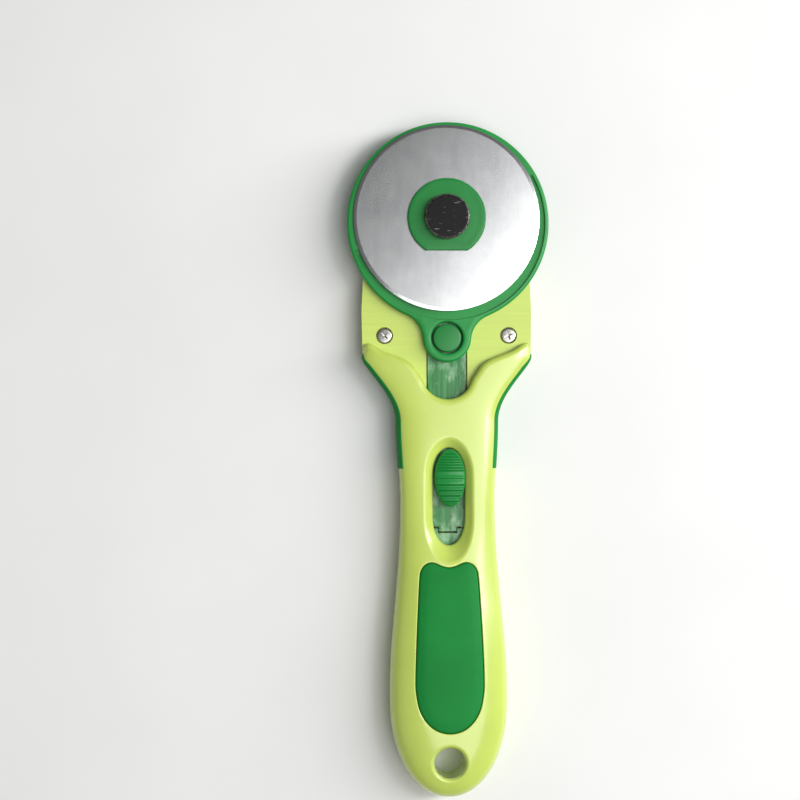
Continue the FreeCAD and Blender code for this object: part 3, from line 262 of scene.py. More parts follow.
def fillRegion(outer, holes, rings, spacing, room=0.55, lines=()):
    # triangles over a region of the plan: outer and holes are its edges, rings are extra
    # loops that the mesh lines up with, and a staggered grid fills the rest
    loops = [outer] + list(holes) + list(rings)
    points, edges, start = [], [], 0
    for loop in loops:
        count = len(loop)
        points.append(loop)
        edges += [(start + k, start + (k + 1) % count) for k in range(count)]
        start += count
    for line in lines:
        count = len(line)
        points.append(line)
        edges += [(start + k, start + k + 1) for k in range(count - 1)]
        start += count
    low, high = outer.min(0), outer.max(0)
    rows = np.arange(low[1], high[1], spacing * 0.866)
    grid = []
    for number, y in enumerate(rows):
        xs = np.arange(low[0] + (number % 2) * spacing / 2, high[0], spacing)
        grid.append(np.stack([xs, np.full_like(xs, y)], -1))
    grid = np.vstack(grid)
    keep = inside(grid, outer)
    for hole in holes:
        keep &= ~inside(grid, hole)
    grid = grid[keep]
    near = np.full(len(grid), 1e9)
    for loop in loops:
        near = np.minimum(near, loopDistance(grid, loop))
    for line in lines:
        near = np.minimum(near, loopDistance(grid, line, closed=False))
    points.append(grid[near > spacing * room])
    points = np.vstack(points)
    result = delaunay_2d_cdt([Vector(p) for p in points], edges, [], 0, 1e-6, True)
    verts = np.array([tuple(v) for v in result[0]])
    faces = np.array([f for f in result[2] if len(f) == 3])
    centres = verts[faces].mean(axis=1)
    keep = inside(centres, outer)
    for hole in holes:
        keep &= ~inside(centres, hole)
    faces = faces[keep]
    a, b, c = verts[faces[:, 0]], verts[faces[:, 1]], verts[faces[:, 2]]
    turn = (b[:, 0] - a[:, 0]) * (c[:, 1] - a[:, 1]) - (b[:, 1] - a[:, 1]) * (c[:, 0] - a[:, 0])
    faces[turn < 0] = faces[turn < 0][:, ::-1]
    return verts, faces


def closedBody(top, bottom, faces, between=None):
    # a solid between a top surface and the same surface lowered, walled along every open edge;
    # between gives extra wall levels as functions of (top, bottom)
    count = len(top)
    edges = np.vstack([faces[:, [0, 1]], faces[:, [1, 2]], faces[:, [2, 0]]])
    keys = {}
    for a, b in edges:
        keys[(int(a), int(b))] = True
    border = [(a, b) for a, b in keys if (b, a) not in keys]
    verts = [top, bottom]
    walls = []
    rim = sorted({v for edge in border for v in edge})
    place = {v: k for k, v in enumerate(rim)}
    base = 2 * count
    steps = between or []
    for step in steps:
        verts.append(step(top[rim], bottom[rim]))

    def index(v, level):
        if level == 0:
            return v
        if level == len(steps) + 1:
            return v + count
        return base + (level - 1) * len(rim) + place[v]

    for a, b in border:
        for level in range(len(steps) + 1):
            walls.append((index(b, level), index(a, level), index(a, level + 1), index(b, level + 1)))
    allFaces = [tuple(f) for f in faces] + [tuple(f[::-1] + count) for f in faces] + walls
    return np.vstack(verts), allFaces


def gridFaces(rows, columns):
    # triangles over points laid out row by row
    index = np.arange(rows * columns).reshape(rows, columns)
    a, b, c, d = index[:-1, :-1], index[:-1, 1:], index[1:, 1:], index[1:, :-1]
    first = np.stack([a, b, c], -1).reshape(-1, 3)
    second = np.stack([a, c, d], -1).reshape(-1, 3)
    return np.vstack([first, second])


def makeObject(name, verts, faces):
    mesh = bpy.data.meshes.new(name)
    mesh.from_pydata((np.asarray(verts) * mm).tolist(), [], [tuple(int(i) for i in f) for f in faces])
    mesh.update()
    tidy = bmesh.new()
    tidy.from_mesh(mesh)
    bmesh.ops.remove_doubles(tidy, verts=tidy.verts, dist=2e-7)
    loose = [v for v in tidy.verts if not v.link_faces]
    bmesh.ops.delete(tidy, geom=loose, context="VERTS")
    bmesh.ops.recalc_face_normals(tidy, faces=tidy.faces)
    tidy.to_mesh(mesh)
    tidy.free()
    mesh.shade_smooth()
    mesh.set_sharp_from_angle(angle=math.radians(sharpAngle))
    piece = bpy.data.objects.new(name, mesh)
    scene.collection.objects.link(piece)
    return piece


def edgeSteps(count=6):
    # how far in from the edge each step round a quarter circle of radius 1 lies
    return 1 - np.cos(np.linspace(0, math.pi / 2, count))


def lipDepth(distance, radius):
    near = np.clip(radius - distance, 0, radius)
    return radius - np.sqrt(np.maximum(radius ** 2 - near ** 2, 0))


# materials
def newMaterial(name):
    material = bpy.data.materials.new(name)
    material.use_nodes = True
    tree = material.node_tree
    tree.nodes.clear()
    output = tree.nodes.new("ShaderNodeOutputMaterial")
    shader = tree.nodes.new("ShaderNodeBsdfPrincipled")
    tree.links.new(shader.outputs[0], output.inputs["Surface"])
    coords = tree.nodes.new("ShaderNodeTexCoord")
    return material, tree, shader, coords.outputs["Object"]


def noise(tree, coords, scale, detail=3.0, roughness=0.5, stretch=None):
    source = coords
    if stretch is not None:
        mapping = tree.nodes.new("ShaderNodeMapping")
        mapping.inputs["Scale"].default_value = stretch
        tree.links.new(coords, mapping.inputs["Vector"])
        source = mapping.outputs["Vector"]
    texture = tree.nodes.new("ShaderNodeTexNoise")
    texture.inputs["Scale"].default_value = scale
    texture.inputs["Detail"].default_value = detail
    texture.inputs["Roughness"].default_value = roughness
    tree.links.new(source, texture.inputs["Vector"])
    return texture.outputs["Fac"]


def ramp(tree, value, stops):
    node = tree.nodes.new("ShaderNodeValToRGB")
    node.color_ramp.elements[0].position, node.color_ramp.elements[0].color = stops[0][0], stops[0][1]
    node.color_ramp.elements[1].position, node.color_ramp.elements[1].color = stops[-1][0], stops[-1][1]
    for position, colour in stops[1:-1]:
        node.color_ramp.elements.new(position).color = colour
    tree.links.new(value, node.inputs["Fac"])
    return node.outputs["Color"]


def spread(tree, value, low, high):
    node = tree.nodes.new("ShaderNodeMapRange")
    node.inputs["To Min"].default_value = low
    node.inputs["To Max"].default_value = high
    tree.links.new(value, node.inputs["Value"])
    return node.outputs["Result"]


def bump(tree, shader, value, strength, distance, previous=None):
    node = tree.nodes.new("ShaderNodeBump")
    node.inputs["Strength"].default_value = strength
    node.inputs["Distance"].default_value = distance
    tree.links.new(value, node.inputs["Height"])
    if previous is not None:
        tree.links.new(previous, node.inputs["Normal"])
    tree.links.new(node.outputs["Normal"], shader.inputs["Normal"])
    return node.outputs["Normal"]


def mixColour(tree, factor, a, b, mode="MIX"):
    node = tree.nodes.new("ShaderNodeMix")
    node.data_type, node.blend_type = "RGBA", mode
    for socket, value in ((node.inputs[0], factor), (node.inputs[6], a), (node.inputs[7], b)):
        if isinstance(value, (int, float, tuple)):
            socket.default_value = value
        else:
            tree.links.new(value, socket)
    return node.outputs[2]


def tint(colour, factor):
    return tuple(min(1.0, c * factor) for c in colour) + (1.0,)


limeLook = {"colour": (0.545, 0.675, 0.125)}
greenLook = {"colour": (0.012, 0.215, 0.040), "specular": 0.30}
rubberLook = {"colour": (0.008, 0.215, 0.036), "specular": 0.14}
steelLook = {"colour": (0.60, 0.61, 0.615)}


def limePlastic():
    material, tree, shader, coords = newMaterial("limePlastic")
    colour = limeLook["colour"]
    cloud = noise(tree, coords, 45, 4, 0.55)
    flow = noise(tree, coords, 260, 3, 0.5, stretch=(0.25, 1.0, 1.0))
    base = ramp(tree, cloud, [(0.32, tint(colour, 0.955)), (0.68, tint(colour, 1.03))])
    base = mixColour(tree, spread(tree, flow, 0.0, 0.10), base, tint(colour, 0.88))
    tree.links.new(base, shader.inputs["Base Color"])
    tree.links.new(spread(tree, noise(tree, coords, 900, 4, 0.6), 0.24, 0.38), shader.inputs["Roughness"])
    shader.inputs["Subsurface Weight"].default_value = 0.12
    shader.inputs["Subsurface Radius"].default_value = (0.9, 1.0, 0.25)
    shader.inputs["Subsurface Scale"].default_value = 0.0012
    shader.inputs["Coat Weight"].default_value = 0.85
    shader.inputs["Coat Roughness"].default_value = 0.15
    shader.inputs["Specular IOR Level"].default_value = 0.35
    grain = bump(tree, shader, noise(tree, coords, 3200, 3, 0.55), 0.08, 0.00003)
    bump(tree, shader, noise(tree, coords, 70, 2, 0.5), 0.10, 0.00015, grain)
    return material


def limePlate():
    # the head plate has a faint drawn grain across it
    material, tree, shader, coords = newMaterial("limePlate")
    colour = limeLook["colour"]
    lines = noise(tree, coords, 420, 4, 0.6, stretch=(0.06, 1.6, 1.0))
    base = ramp(tree, lines, [(0.30, tint(colour, 0.96)), (0.70, tint(colour, 1.03))])
    tree.links.new(base, shader.inputs["Base Color"])
    tree.links.new(spread(tree, lines, 0.32, 0.46), shader.inputs["Roughness"])
    bump(tree, shader, lines, 0.12, 0.00005)
    return material


def greenPlastic(name="greenPlastic", factor=1.0):
    material, tree, shader, coords = newMaterial(name)
    colour = tuple(c * factor for c in greenLook["colour"])
    cloud = noise(tree, coords, 60, 4, 0.6)
    base = ramp(tree, cloud, [(0.30, tint(colour, 0.88)), (0.70, tint(colour, 1.10))])
    tree.links.new(base, shader.inputs["Base Color"])
    tree.links.new(spread(tree, noise(tree, coords, 1100, 4, 0.6), 0.26, 0.42), shader.inputs["Roughness"])
    shader.inputs["Specular IOR Level"].default_value = greenLook["specular"]
    shader.inputs["Subsurface Weight"].default_value = 0.06
    shader.inputs["Subsurface Radius"].default_value = (0.2, 1.0, 0.3)
    shader.inputs["Subsurface Scale"].default_value = 0.0008
    grain = bump(tree, shader, noise(tree, coords, 2600, 3, 0.6), 0.14, 0.00004)
    scuff = noise(tree, coords, 500, 2, 0.4, stretch=(1.0, 0.12, 1.0))
    bump(tree, shader, scuff, 0.06, 0.00006, grain)
    return material


def stripPlastic():
    # greyer, slightly see-through green with drawn streaks along Y
    material, tree, shader, coords = newMaterial("stripPlastic")
    streak = noise(tree, coords, 700, 5, 0.65, stretch=(1.0, 0.05, 1.0))
    base = ramp(tree, streak, [(0.30, (0.010, 0.11, 0.024, 1)), (0.5, (0.028, 0.20, 0.048, 1)),
                               (0.72, (0.10, 0.35, 0.13, 1))])
    # pale patches mixed in at random across the strip
    palePatches = noise(tree, coords, 210, 4, 0.65, stretch=(1.0, 0.45, 1.0))
    base = mixColour(tree, ramp(tree, palePatches, [(0.51, (0, 0, 0, 1)), (0.68, (0.55, 0.55, 0.55, 1))]), base,
                     (0.50, 0.74, 0.50, 1))
    tree.links.new(base, shader.inputs["Base Color"])
    tree.links.new(spread(tree, streak, 0.22, 0.46), shader.inputs["Roughness"])
    shader.inputs["Specular IOR Level"].default_value = 0.4
    bump(tree, shader, streak, 0.25, 0.00006)
    return material


def softRubber():
    material, tree, shader, coords = newMaterial("softRubber")
    colour = rubberLook["colour"]
    cloud = noise(tree, coords, 38, 4, 0.6)
    base = ramp(tree, cloud, [(0.30, tint(colour, 0.90)), (0.70, tint(colour, 1.12))])
    tree.links.new(base, shader.inputs["Base Color"])
    fine = noise(tree, coords, 2300, 4, 0.65)
    tree.links.new(spread(tree, fine, 0.46, 0.66), shader.inputs["Roughness"])
    shader.inputs["Specular IOR Level"].default_value = rubberLook["specular"]
    grain = bump(tree, shader, fine, 0.30, 0.00007)
    bump(tree, shader, noise(tree, coords, 240, 3, 0.5), 0.10, 0.0001, grain)
    return material


def bladeSteel():
    # turned steel: fine rings round the axle, with faint wandering scuffs
    material, tree, shader, coords = newMaterial("bladeSteel")
    colour = steelLook["colour"]
    ringCoord = tree.nodes.new("ShaderNodeCombineXYZ")
    tree.links.new(radialDistance(tree, coords), ringCoord.inputs[0])
    rings = noise(tree, ringCoord.outputs[0], 5200, 3, 0.7)
    cloud = noise(tree, coords, 85, 5, 0.62)
    scuff = noise(tree, coords, 900, 3, 0.6, stretch=(1.0, 0.10, 1.0))
    base = ramp(tree, cloud, [(0.30, tint(colour, 0.90)), (0.70, tint(colour, 1.06))])
    base = mixColour(tree, spread(tree, rings, 0.0, 0.22), base, tint(colour, 0.78))
    tree.links.new(base, shader.inputs["Base Color"])
    tree.links.new(spread(tree, scuff, 0.18, 0.23), shader.inputs["Roughness"])
    shader.inputs["Metallic"].default_value = 1.0
    first = bump(tree, shader, rings, 0.08, 0.00002)
    bump(tree, shader, scuff, 0.025, 0.00002, first)
    return material


def radialDistance(tree, coords):
    flat = tree.nodes.new("ShaderNodeVectorMath")
    flat.operation = "MULTIPLY"
    flat.inputs[1].default_value = (1, 1, 0)
    tree.links.new(coords, flat.inputs[0])
    length = tree.nodes.new("ShaderNodeVectorMath")
    length.operation = "LENGTH"
    tree.links.new(flat.outputs["Vector"], length.inputs[0])
    return length.outputs["Value"]


def blackSteel():
    # black oxide with short scratches that run several ways, and a paler rim round the head's edge that is partly
    # painted sheen and partly wear
    material, tree, shader, coords = newMaterial("blackSteel")
    wearAndSheen = noise(tree, coords, 1300, 5, 0.7)
    patch = noise(tree, coords, 420, 3, 0.6)
    # painted sheen: the head's outer edge gets a paler colour, in patches set by the wear noise
    rim = tree.nodes.new("ShaderNodeMapRange")
    rim.interpolation_type = "SMOOTHSTEP"
    rim.inputs["From Min"].default_value = 0.0066
    rim.inputs["From Max"].default_value = 0.0070
    tree.links.new(radialDistance(tree, coords), rim.inputs["Value"])
    palePatches = mixColour(tree, 1.0, rim.outputs["Result"],
                     ramp(tree, wearAndSheen, [(0.42, (0.05, 0.05, 0.05, 1)), (0.60, (1, 1, 1, 1))]), "MULTIPLY")
    base = mixColour(tree, palePatches, (0.010, 0.010, 0.010, 1), (0.30, 0.27, 0.24, 1))
    scratches = []
    for turn, seed in ((0.5, 3.0), (-0.6, 11.0), (1.9, 23.0)):
        mapping = tree.nodes.new("ShaderNodeMapping")
        mapping.inputs["Rotation"].default_value = (0, 0, turn)
        mapping.inputs["Location"].default_value = (seed, 0, 0)
        mapping.inputs["Scale"].default_value = (0.16, 1.0, 1.0)
        tree.links.new(coords, mapping.inputs["Vector"])
        lines = noise(tree, mapping.outputs["Vector"], 1500, 2, 0.5)
        scratches.append(ramp(tree, lines, [(0.66, (0, 0, 0, 1)), (0.74, (1, 1, 1, 1))]))
    marks = mixColour(tree, 1.0, mixColour(tree, 1.0, scratches[0], scratches[1], "ADD"), scratches[2], "ADD")
    marks = mixColour(tree, 1.0, marks, ramp(tree, patch, [(0.46, (0, 0, 0, 1)), (0.60, (0.8, 0.8, 0.8, 1))]),
                      "MULTIPLY")
    base = mixColour(tree, marks, base, (0.26, 0.25, 0.24, 1))
    tree.links.new(base, shader.inputs["Base Color"])
    tree.links.new(spread(tree, wearAndSheen, 0.24, 0.44), shader.inputs["Roughness"])
    shader.inputs["Metallic"].default_value = 0.6
    shader.inputs["Specular IOR Level"].default_value = 0.3
    bump(tree, shader, wearAndSheen, 0.25, 0.00006)
    return material


def zincSteel():
    material, tree, shader, coords = newMaterial("zincSteel")
    cloud = noise(tree, coords, 700, 4, 0.6)
    tree.links.new(ramp(tree, cloud, [(0.3, (0.27, 0.26, 0.24, 1)), (0.7, (0.42, 0.41, 0.38, 1))]),
                   shader.inputs["Base Color"])
    tree.links.new(spread(tree, noise(tree, coords, 2600, 3, 0.6), 0.24, 0.36), shader.inputs["Roughness"])
    shader.inputs["Metallic"].default_value = 1.0
    bump(tree, shader, cloud, 0.05, 0.00002)
    return material


def turnedBrass():
    material, tree, shader, coords = newMaterial("turnedBrass")
    cloud = noise(tree, coords, 600, 4, 0.6)
    tree.links.new(ramp(tree, cloud, [(0.3, (0.52, 0.36, 0.11, 1)), (0.7, (0.72, 0.54, 0.22, 1))]),
                   shader.inputs["Base Color"])
    tree.links.new(spread(tree, cloud, 0.24, 0.40), shader.inputs["Roughness"])
    shader.inputs["Metallic"].default_value = 1.0
    bump(tree, shader, cloud, 0.12, 0.00004)
    return material


materials = {
    "lime": limePlastic(), "plate": limePlate(), "green": greenPlastic(), "strip": stripPlastic(),
    "rubber": softRubber(), "blade": bladeSteel(), "black": blackSteel(), "zinc": zincSteel(),
    "brass": turnedBrass(), "guard": greenPlastic("guardPlastic", 1.25),
    "slider": greenPlastic("sliderPlastic", 1.12),
}
print("materials made")


def finishPiece(piece, material, body, slotName, *nodes):
    piece.data.materials.clear()
    piece.data.materials.append(materials[material])
    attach(piece, body)
    if nodes:
        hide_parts(*nodes)
    return piece


# front shell and its grip inlay
front = {
    "valleyRadius": 8.2, "valleyLip": 1.55, "windowHalf": 5.2, "windowEnd": 8.75, "windowGap": 0.9,
    "topGap": 0.45, "windowShift": 0.3, "windowRound": 0.35,
    "dishHalf": 7.75, "dishMargin": 3.8, "dishShift": 0.6, "dishEnd": 13.0, "dishFloor": 2.1,
    "dishSoft": 0.55, "holeRadius": 5.1, "holeLip": 1.05, "grooveGap": 0.10,
    "grooveRound": 0.30, "grooveDepth": 0.8, "spacing": 0.75, "wall": 2.2,
    "partingRings": (0.12, 0.3, 0.8, 1.5), "partingGroove": 0.13,
}
inlayLow, inlayHigh = span("front_grip_inlay")
buttonLow, buttonHigh = span("thumb_button")


def valleyLine(sideX):
    # the wings' edge from the right tip through the U and out to the left tip
    r = front["valleyRadius"]
    centreY = bossY - guardTravel
    side = handle["headHalf"]
    right = [(sideX, wingY - 2.6), (sideX - 0.12, wingY - 1.5), (sideX - 0.75, wingY - 0.6),
             (sideX - 1.8, wingY - 0.35), (side - 3.3, wingY - 1.0), (side - 4.6, wingY - 1.9),
             (side - 6.6, wingY - 3.0), (side - 9.9, wingY - 4.3), (side - 13.6, wingY - 5.8),
             (side - 16.2, wingY - 7.7), (side - 17.9, wingY - 10.2), (r + 0.12, centreY - 1.2)]
    rightLine = softLine(right, 16)
    bowl = arcLine(0, centreY, r, -10, -170, 60)
    leftLine = rightLine[::-1] * np.array([-1, 1])
    whole = np.vstack([rightLine[:-3], bowl, leftLine[3:]])
    whole = resample(whole, 0.32, closed=False)
    # eases the join between the wings' curve and the U
    for _ in range(16):
        eased = whole[1:-1] * 0.5 + (whole[:-2] + whole[2:]) * 0.25
        near = np.abs(whole[1:-1, 1] - centreY + 1) < 3.5
        whole[1:-1] = np.where(near[:, None], eased, whole[1:-1])
    return whole


def inlayLine(inset=0.0):
    top, bottom = inlayHigh[1], inlayLow[1]
    upper, half, hump = 9.4, 10.9, 1.6
    points = [(0, top - hump), (2.2, top - hump * 0.72), (4.2, top - 0.28), (5.9, top), (7.7, top - 0.75),
              (8.9, top - 2.4), (upper, top - 5.0), (9.95, top - 14), (10.5, top - 25),
              (half, bottom + 17), (half - 0.25, bottom + 12.2), (9.6, bottom + 7.4), (7.4, bottom + 3.6),
              (4.2, bottom + 1.0), (0, bottom)]
    right = np.array(points)
    loop = np.vstack([right, (right[1:-1] * np.array([-1, 1]))[::-1]])
    line = resample(softLine(loop, 16, closed=True), 0.45)
    return offsetLoop(counterClockwise(line), inset)


def frontOutline():
    # the parting edge down the right side to the butt and up the left, closed along the valley
    low, high = buttY, roundY
    for _ in range(50):
        y = (low + high) / 2
        _, tall, centre, _ = section(y)
        low, high = (y, high) if tall < partingZ - centre + 1e-4 else (low, y)
    end = high
    tipY = wingY - 2.6
    straight = np.arange(tipY, end + 9.0, -0.45)
    turn = np.linspace(1, 0, 60)[:-1] ** 2
    y = np.r_[straight, end + (straight[-1] - 0.3 - end) * turn]
    wide, tall, centre, power = section(y)
    share = np.clip(1 - ((partingZ - centre) / np.maximum(tall, 1e-6)) ** power, 0, 1)
    x = wide * share ** (1 / power)
    right = np.stack([x, y], -1)
    left = np.stack([-x, y], -1)[::-1]
    sides = np.vstack([right, [[0.0, end]], left])
    return valleyLine(right[0, 0]), sides


def sideIndex(planLoop, sides):
    # the run of border points that lie on the sides, away from the wing tips
    tip = sides[0, 1] - 2.5
    keep = (loopDistance(planLoop, sides, closed=False) < 1e-6) & (planLoop[:, 1] < tip)
    return np.nonzero(keep)[0]


def buildFrontShell():
    f = front
    valley, sides = frontOutline()
    # the sides run clockwise from the right tip, so the valley goes back from left to right
    planLoop = np.vstack([sides, valley[::-1][1:-1]])
    planLoop = counterClockwise(planLoop)
    windowTop = buttonHigh[1] + f["topGap"]
    windowBottom = buttonLow[1] - guardTravel - f["windowGap"]
    windowLoop = ovalLine(f["windowHalf"], windowTop, windowBottom, f["windowEnd"])
    dishTop = buttonHigh[1] + f["windowGap"] + f["dishMargin"] - f["dishShift"]
    dishBottom = windowBottom - f["dishMargin"] - f["dishShift"]
    dishLoop = ovalLine(f["dishHalf"], dishTop, dishBottom, f["dishEnd"])
    for loop in (windowLoop, dishLoop):
        loop[:, 0] += f["windowShift"]
    holeLoop = arcLine(0, hangY, f["holeRadius"], 0, 360, 97)[:-1]
    grooveLoop = inlayLine(-f["grooveGap"])

    def unrolled(loop):
        return toUnrolled(loop[:, 0], loop[:, 1])

    steps = edgeSteps(6)
    rings = []
    for share in steps[1:]:
        lip = arcLine(0, hangY, f["holeRadius"] + f["holeLip"] * share, 0, 360, 97)[:-1]
        rings.append(resample(lip, 0.35))
        rings.append(offsetLoop(grooveLoop, -f["grooveRound"] * share))
    for extra in (1.35, 1.8):
        rings.append(arcLine(0, hangY, f["holeRadius"] + f["holeLip"] * extra, 0, 360, 81)[:-1])
    for share in (0.06, 0.14, 0.26, 0.40, 0.55, 0.70, 0.85, 1.0):
        rings.append(mix(windowLoop, dishLoop, share))
    for extra in (0.35, 0.75, 1.2, 1.8):
        rings.append(offsetLoop(counterClockwise(dishLoop), -extra))
    border = unrolled(planLoop)
    lines = []
    for share in list(steps[1:] * f["valleyLip"]) + [f["valleyLip"] * 1.4]:
        moved = offsetLoop(valley, share if signedArea(np.vstack([valley, [[0, buttY]]])) > 0 else -share)
        ends = np.abs(valley[:, 0]) < handle["headHalf"] - 2.6
        lines.append(unrolled(moved[ends]))
    for share in f["partingRings"]:
        moved = offsetLoop(border, share)
        moved = moved[np.isin(np.arange(len(moved)), sideIndex(planLoop, sides))]
        lines.append(moved)
    loops = [unrolled(loop) for loop in rings]
    verts, faces = fillRegion(border, [unrolled(windowLoop), unrolled(holeLoop), unrolled(grooveLoop)],
                              loops, f["spacing"], lines=lines)
    skin = fromUnrolled(verts)
    plan = skin[:, :2]
    level = skin[:, 2]

    # dish: slopes from the window's edge up to the skin with a soft outer edge
    toWindow, toDish = loopDistance(plan, windowLoop), loopDistance(plan, dishLoop)
    inDish = inside(plan, dishLoop)
    share = np.where(inDish, toWindow / np.maximum(toWindow + toDish, 1e-6), 1 + toDish / 2.6)
    floor = partingZ + f["dishFloor"]
    rim = partingZ + handle["neckRise"] + 0.1
    dish = floor + (rim - floor) * share
    soft = f["dishSoft"]
    blendShare = np.clip(0.5 + 0.5 * (dish - level) / soft, 0, 1)
    lowered = mix(dish, level, blendShare) - soft * blendShare * (1 - blendShare)
    nearDish = inDish | (toDish < 3)
    level = np.where(nearDish, np.minimum(level, lowered), level)
    level = level - lipDepth(toWindow, f["windowRound"])

    # rounded lips along the valley, the hanging hole and the inlay's seat
    level = level - lipDepth(loopDistance(plan, valley, closed=False), f["valleyLip"])
    level = level - lipDepth(np.abs(np.hypot(plan[:, 0], plan[:, 1] - hangY) - f["holeRadius"]), f["holeLip"])
    level = level - lipDepth(loopDistance(plan, grooveLoop), f["grooveRound"])
    level = np.maximum(level, partingZ + 0.02)
    top = np.column_stack([plan, level])
    toSide = loopDistance(plan, sides, closed=False)
    sideways = loopDistance(verts, unrolled(sides), closed=False)
    tuck = f["partingGroove"] * np.clip(1 - sideways / 0.3, 0, 1) * (plan[:, 1] < sides[0, 1] - 1)
    inwards = np.stack([-plan[:, 0], np.maximum(roundY - plan[:, 1], 0) * 0.9], -1)
    inwards /= np.maximum(np.linalg.norm(inwards, axis=1), 1e-6)[:, None]
    top[:, :2] += inwards * tuck[:, None]
    toGroove = loopDistance(plan, grooveLoop)
    shellDepth = f["wall"] * smooth(toSide / 1.5)
    seat = np.where(toGroove < 0.02, level - f["grooveDepth"], level - shellDepth)
    bottom = np.column_stack([top[:, :2], np.maximum(partingZ, np.minimum(seat, level - 0.01))])
    lowEdge = (toSide < 0.03)
    bottom[lowEdge, 2] = partingZ
    nearOpening = np.minimum(toWindow, loopDistance(plan, valley, closed=False)) < 0.02
    nearHole = np.abs(np.hypot(plan[:, 0], plan[:, 1] - hangY) - f["holeRadius"]) < 0.02
    bottom[nearOpening | nearHole, 2] = partingZ
    allVerts, allFaces = closedBody(top, bottom, faces)
    return makeObject("frontShellSkin", allVerts, allFaces)


frontShell = finishPiece(buildFrontShell(), "lime", "handle", "lime_plastic", "front_shell")
print("front shell made:", len(frontShell.data.polygons), "faces")

inlayLook = {"gap": 0.06, "round": 0.75, "rise": 0.22, "backRise": 0.2, "spacing": 0.7, "depth": 0.9,
             "crownRun": 3.0, "lipShare": 0.8}


def inlaySkin(rings):
    # the handle's front skin inside the inlay's edge, with its faces and each point's way to the edge
    look = inlayLook
    edge = inlayLine(look["gap"])
    loops = [edge] + [offsetLoop(edge, look["round"] * share) for share in rings]
    unrolled = [toUnrolled(loop[:, 0], loop[:, 1]) for loop in loops]
    verts, faces = fillRegion(unrolled[0], [], unrolled[1:], look["spacing"])
    skin = fromUnrolled(verts)
    return skin, faces, loopDistance(skin[:, :2], edge)


def buildFrontInlay():
    look = inlayLook
    skin, faces, away = inlaySkin(list(edgeSteps(6)[1:]) + [1.6])
    top = skin.copy()
    lip = lipDepth(away, look["round"]) * look["lipShare"]
    top[:, 2] += look["rise"] * smooth(away / look["crownRun"]) - lip
    bottom = skin.copy()
    bottom[:, 2] -= look["depth"]
    allVerts, allFaces = closedBody(top, bottom, faces)
    return makeObject("frontGripInlay", allVerts, allFaces)


def buildBackInlay():
    look = inlayLook
    skin, faces, away = inlaySkin(edgeSteps(6)[1:])
    centre = section(skin[:, 1])[2]
    skin[:, 2] = 2 * centre - skin[:, 2]
    low = skin.copy()
    lip = lipDepth(away, look["round"]) * look["lipShare"]
    low[:, 2] -= look["backRise"] * smooth(away / look["crownRun"]) - lip
    low[:, 2] = np.maximum(low[:, 2], 0.0)
    high = skin.copy()
    high[:, 2] += look["depth"]
    allVerts, allFaces = closedBody(high, low, faces)
    return makeObject("backGripInlay", allVerts, allFaces)


finishPiece(buildFrontInlay(), "rubber", "handle", "green_rubber", "front_grip_inlay")
print("front inlay made")
finishPiece(buildBackInlay(), "rubber", "handle", "green_rubber", "back_grip_inlay")

cushionLook = {"reach": 4.8, "length": 37.5, "width": 1.45, "lowest": 1.5, "rise": 0.24, "sink": 0.5,
               "depth": 1.1, "round": 0.75, "rows": 110, "columns": 30}


def cushionSurface(side, offsetOf):
    # points on the handle's side band, pushed out along the skin by offsetOf(distance to its edge)
    look = cushionLook
    start = bossY - look["reach"]
    y = start - look["length"] * np.linspace(0, 1, look["rows"])[:, None]
    width = look["width"] * np.minimum(1.0, (start - y) / 5 + 0.12)
    wide, tall, centre, power = section(y)
    high = np.arccos(((wide - width) / wide) ** (power / 2))
    lowSine = np.clip((centre - look["lowest"]) / tall, 0, 1) ** (power / 2)
    low = -np.minimum(high, np.arcsin(lowSine))
    angle = mix(high, low, np.linspace(0, 1, look["columns"])[None, :])

    def place(y, angle):
        wide, tall, centre, power = section(y)
        c, s = np.maximum(np.cos(angle), 1e-5), np.sin(angle)
        x = wide * c ** (2 / power)
        return np.stack([x, y + 0 * angle, centre + tall * np.sign(s) * np.abs(s) ** (2 / power)], -1)

    points = place(y, angle)
    alongY = place(y - 0.05, angle) - place(y + 0.05, angle)
    alongRim = place(y, angle - 0.002) - place(y, angle + 0.002)
    normal = np.cross(alongRim, alongY)
    normal /= np.maximum(np.linalg.norm(normal, axis=-1), 1e-9)[..., None]
    outward = np.sign(normal[..., :1] + 1e-9)
    normal = normal * np.where(np.abs(normal[..., :1]) > 0.05, outward, 1)
    reach = np.linalg.norm(np.diff(points, axis=1), axis=-1)
    across = np.concatenate([np.zeros((len(y), 1)), np.cumsum(reach, axis=1)], axis=1)
    toRim = np.minimum(across, across[:, -1:] - across)
    along = np.minimum(start - y, y - (start - look["length"]))
    gap = np.minimum(toRim, along)
    moved = points + normal * offsetOf(gap)[..., None]
    moved[..., 0] *= side
    return moved


def buildCushion(side, name):
    look = cushionLook

    def outer(gap):
        near = np.clip(1 - gap / look["round"], 0, 1)
        return -look["sink"] + (look["sink"] + look["rise"]) * np.sqrt(1 - near ** 2)

    top = cushionSurface(side, outer)
    bottom = cushionSurface(side, lambda gap: np.full_like(gap, -look["depth"]))
    faces = gridFaces(look["rows"], look["columns"])
    verts, allFaces = closedBody(top.reshape(-1, 3), bottom.reshape(-1, 3), faces)
    return makeObject(name, verts, allFaces)


finishPiece(buildCushion(-1, "leftCushion"), "rubber", "handle", "green_rubber", "left_finger_cushion")
finishPiece(buildCushion(1, "rightCushion"), "rubber", "handle", "green_rubber", "right_finger_cushion")
print("back inlay and cushions made")


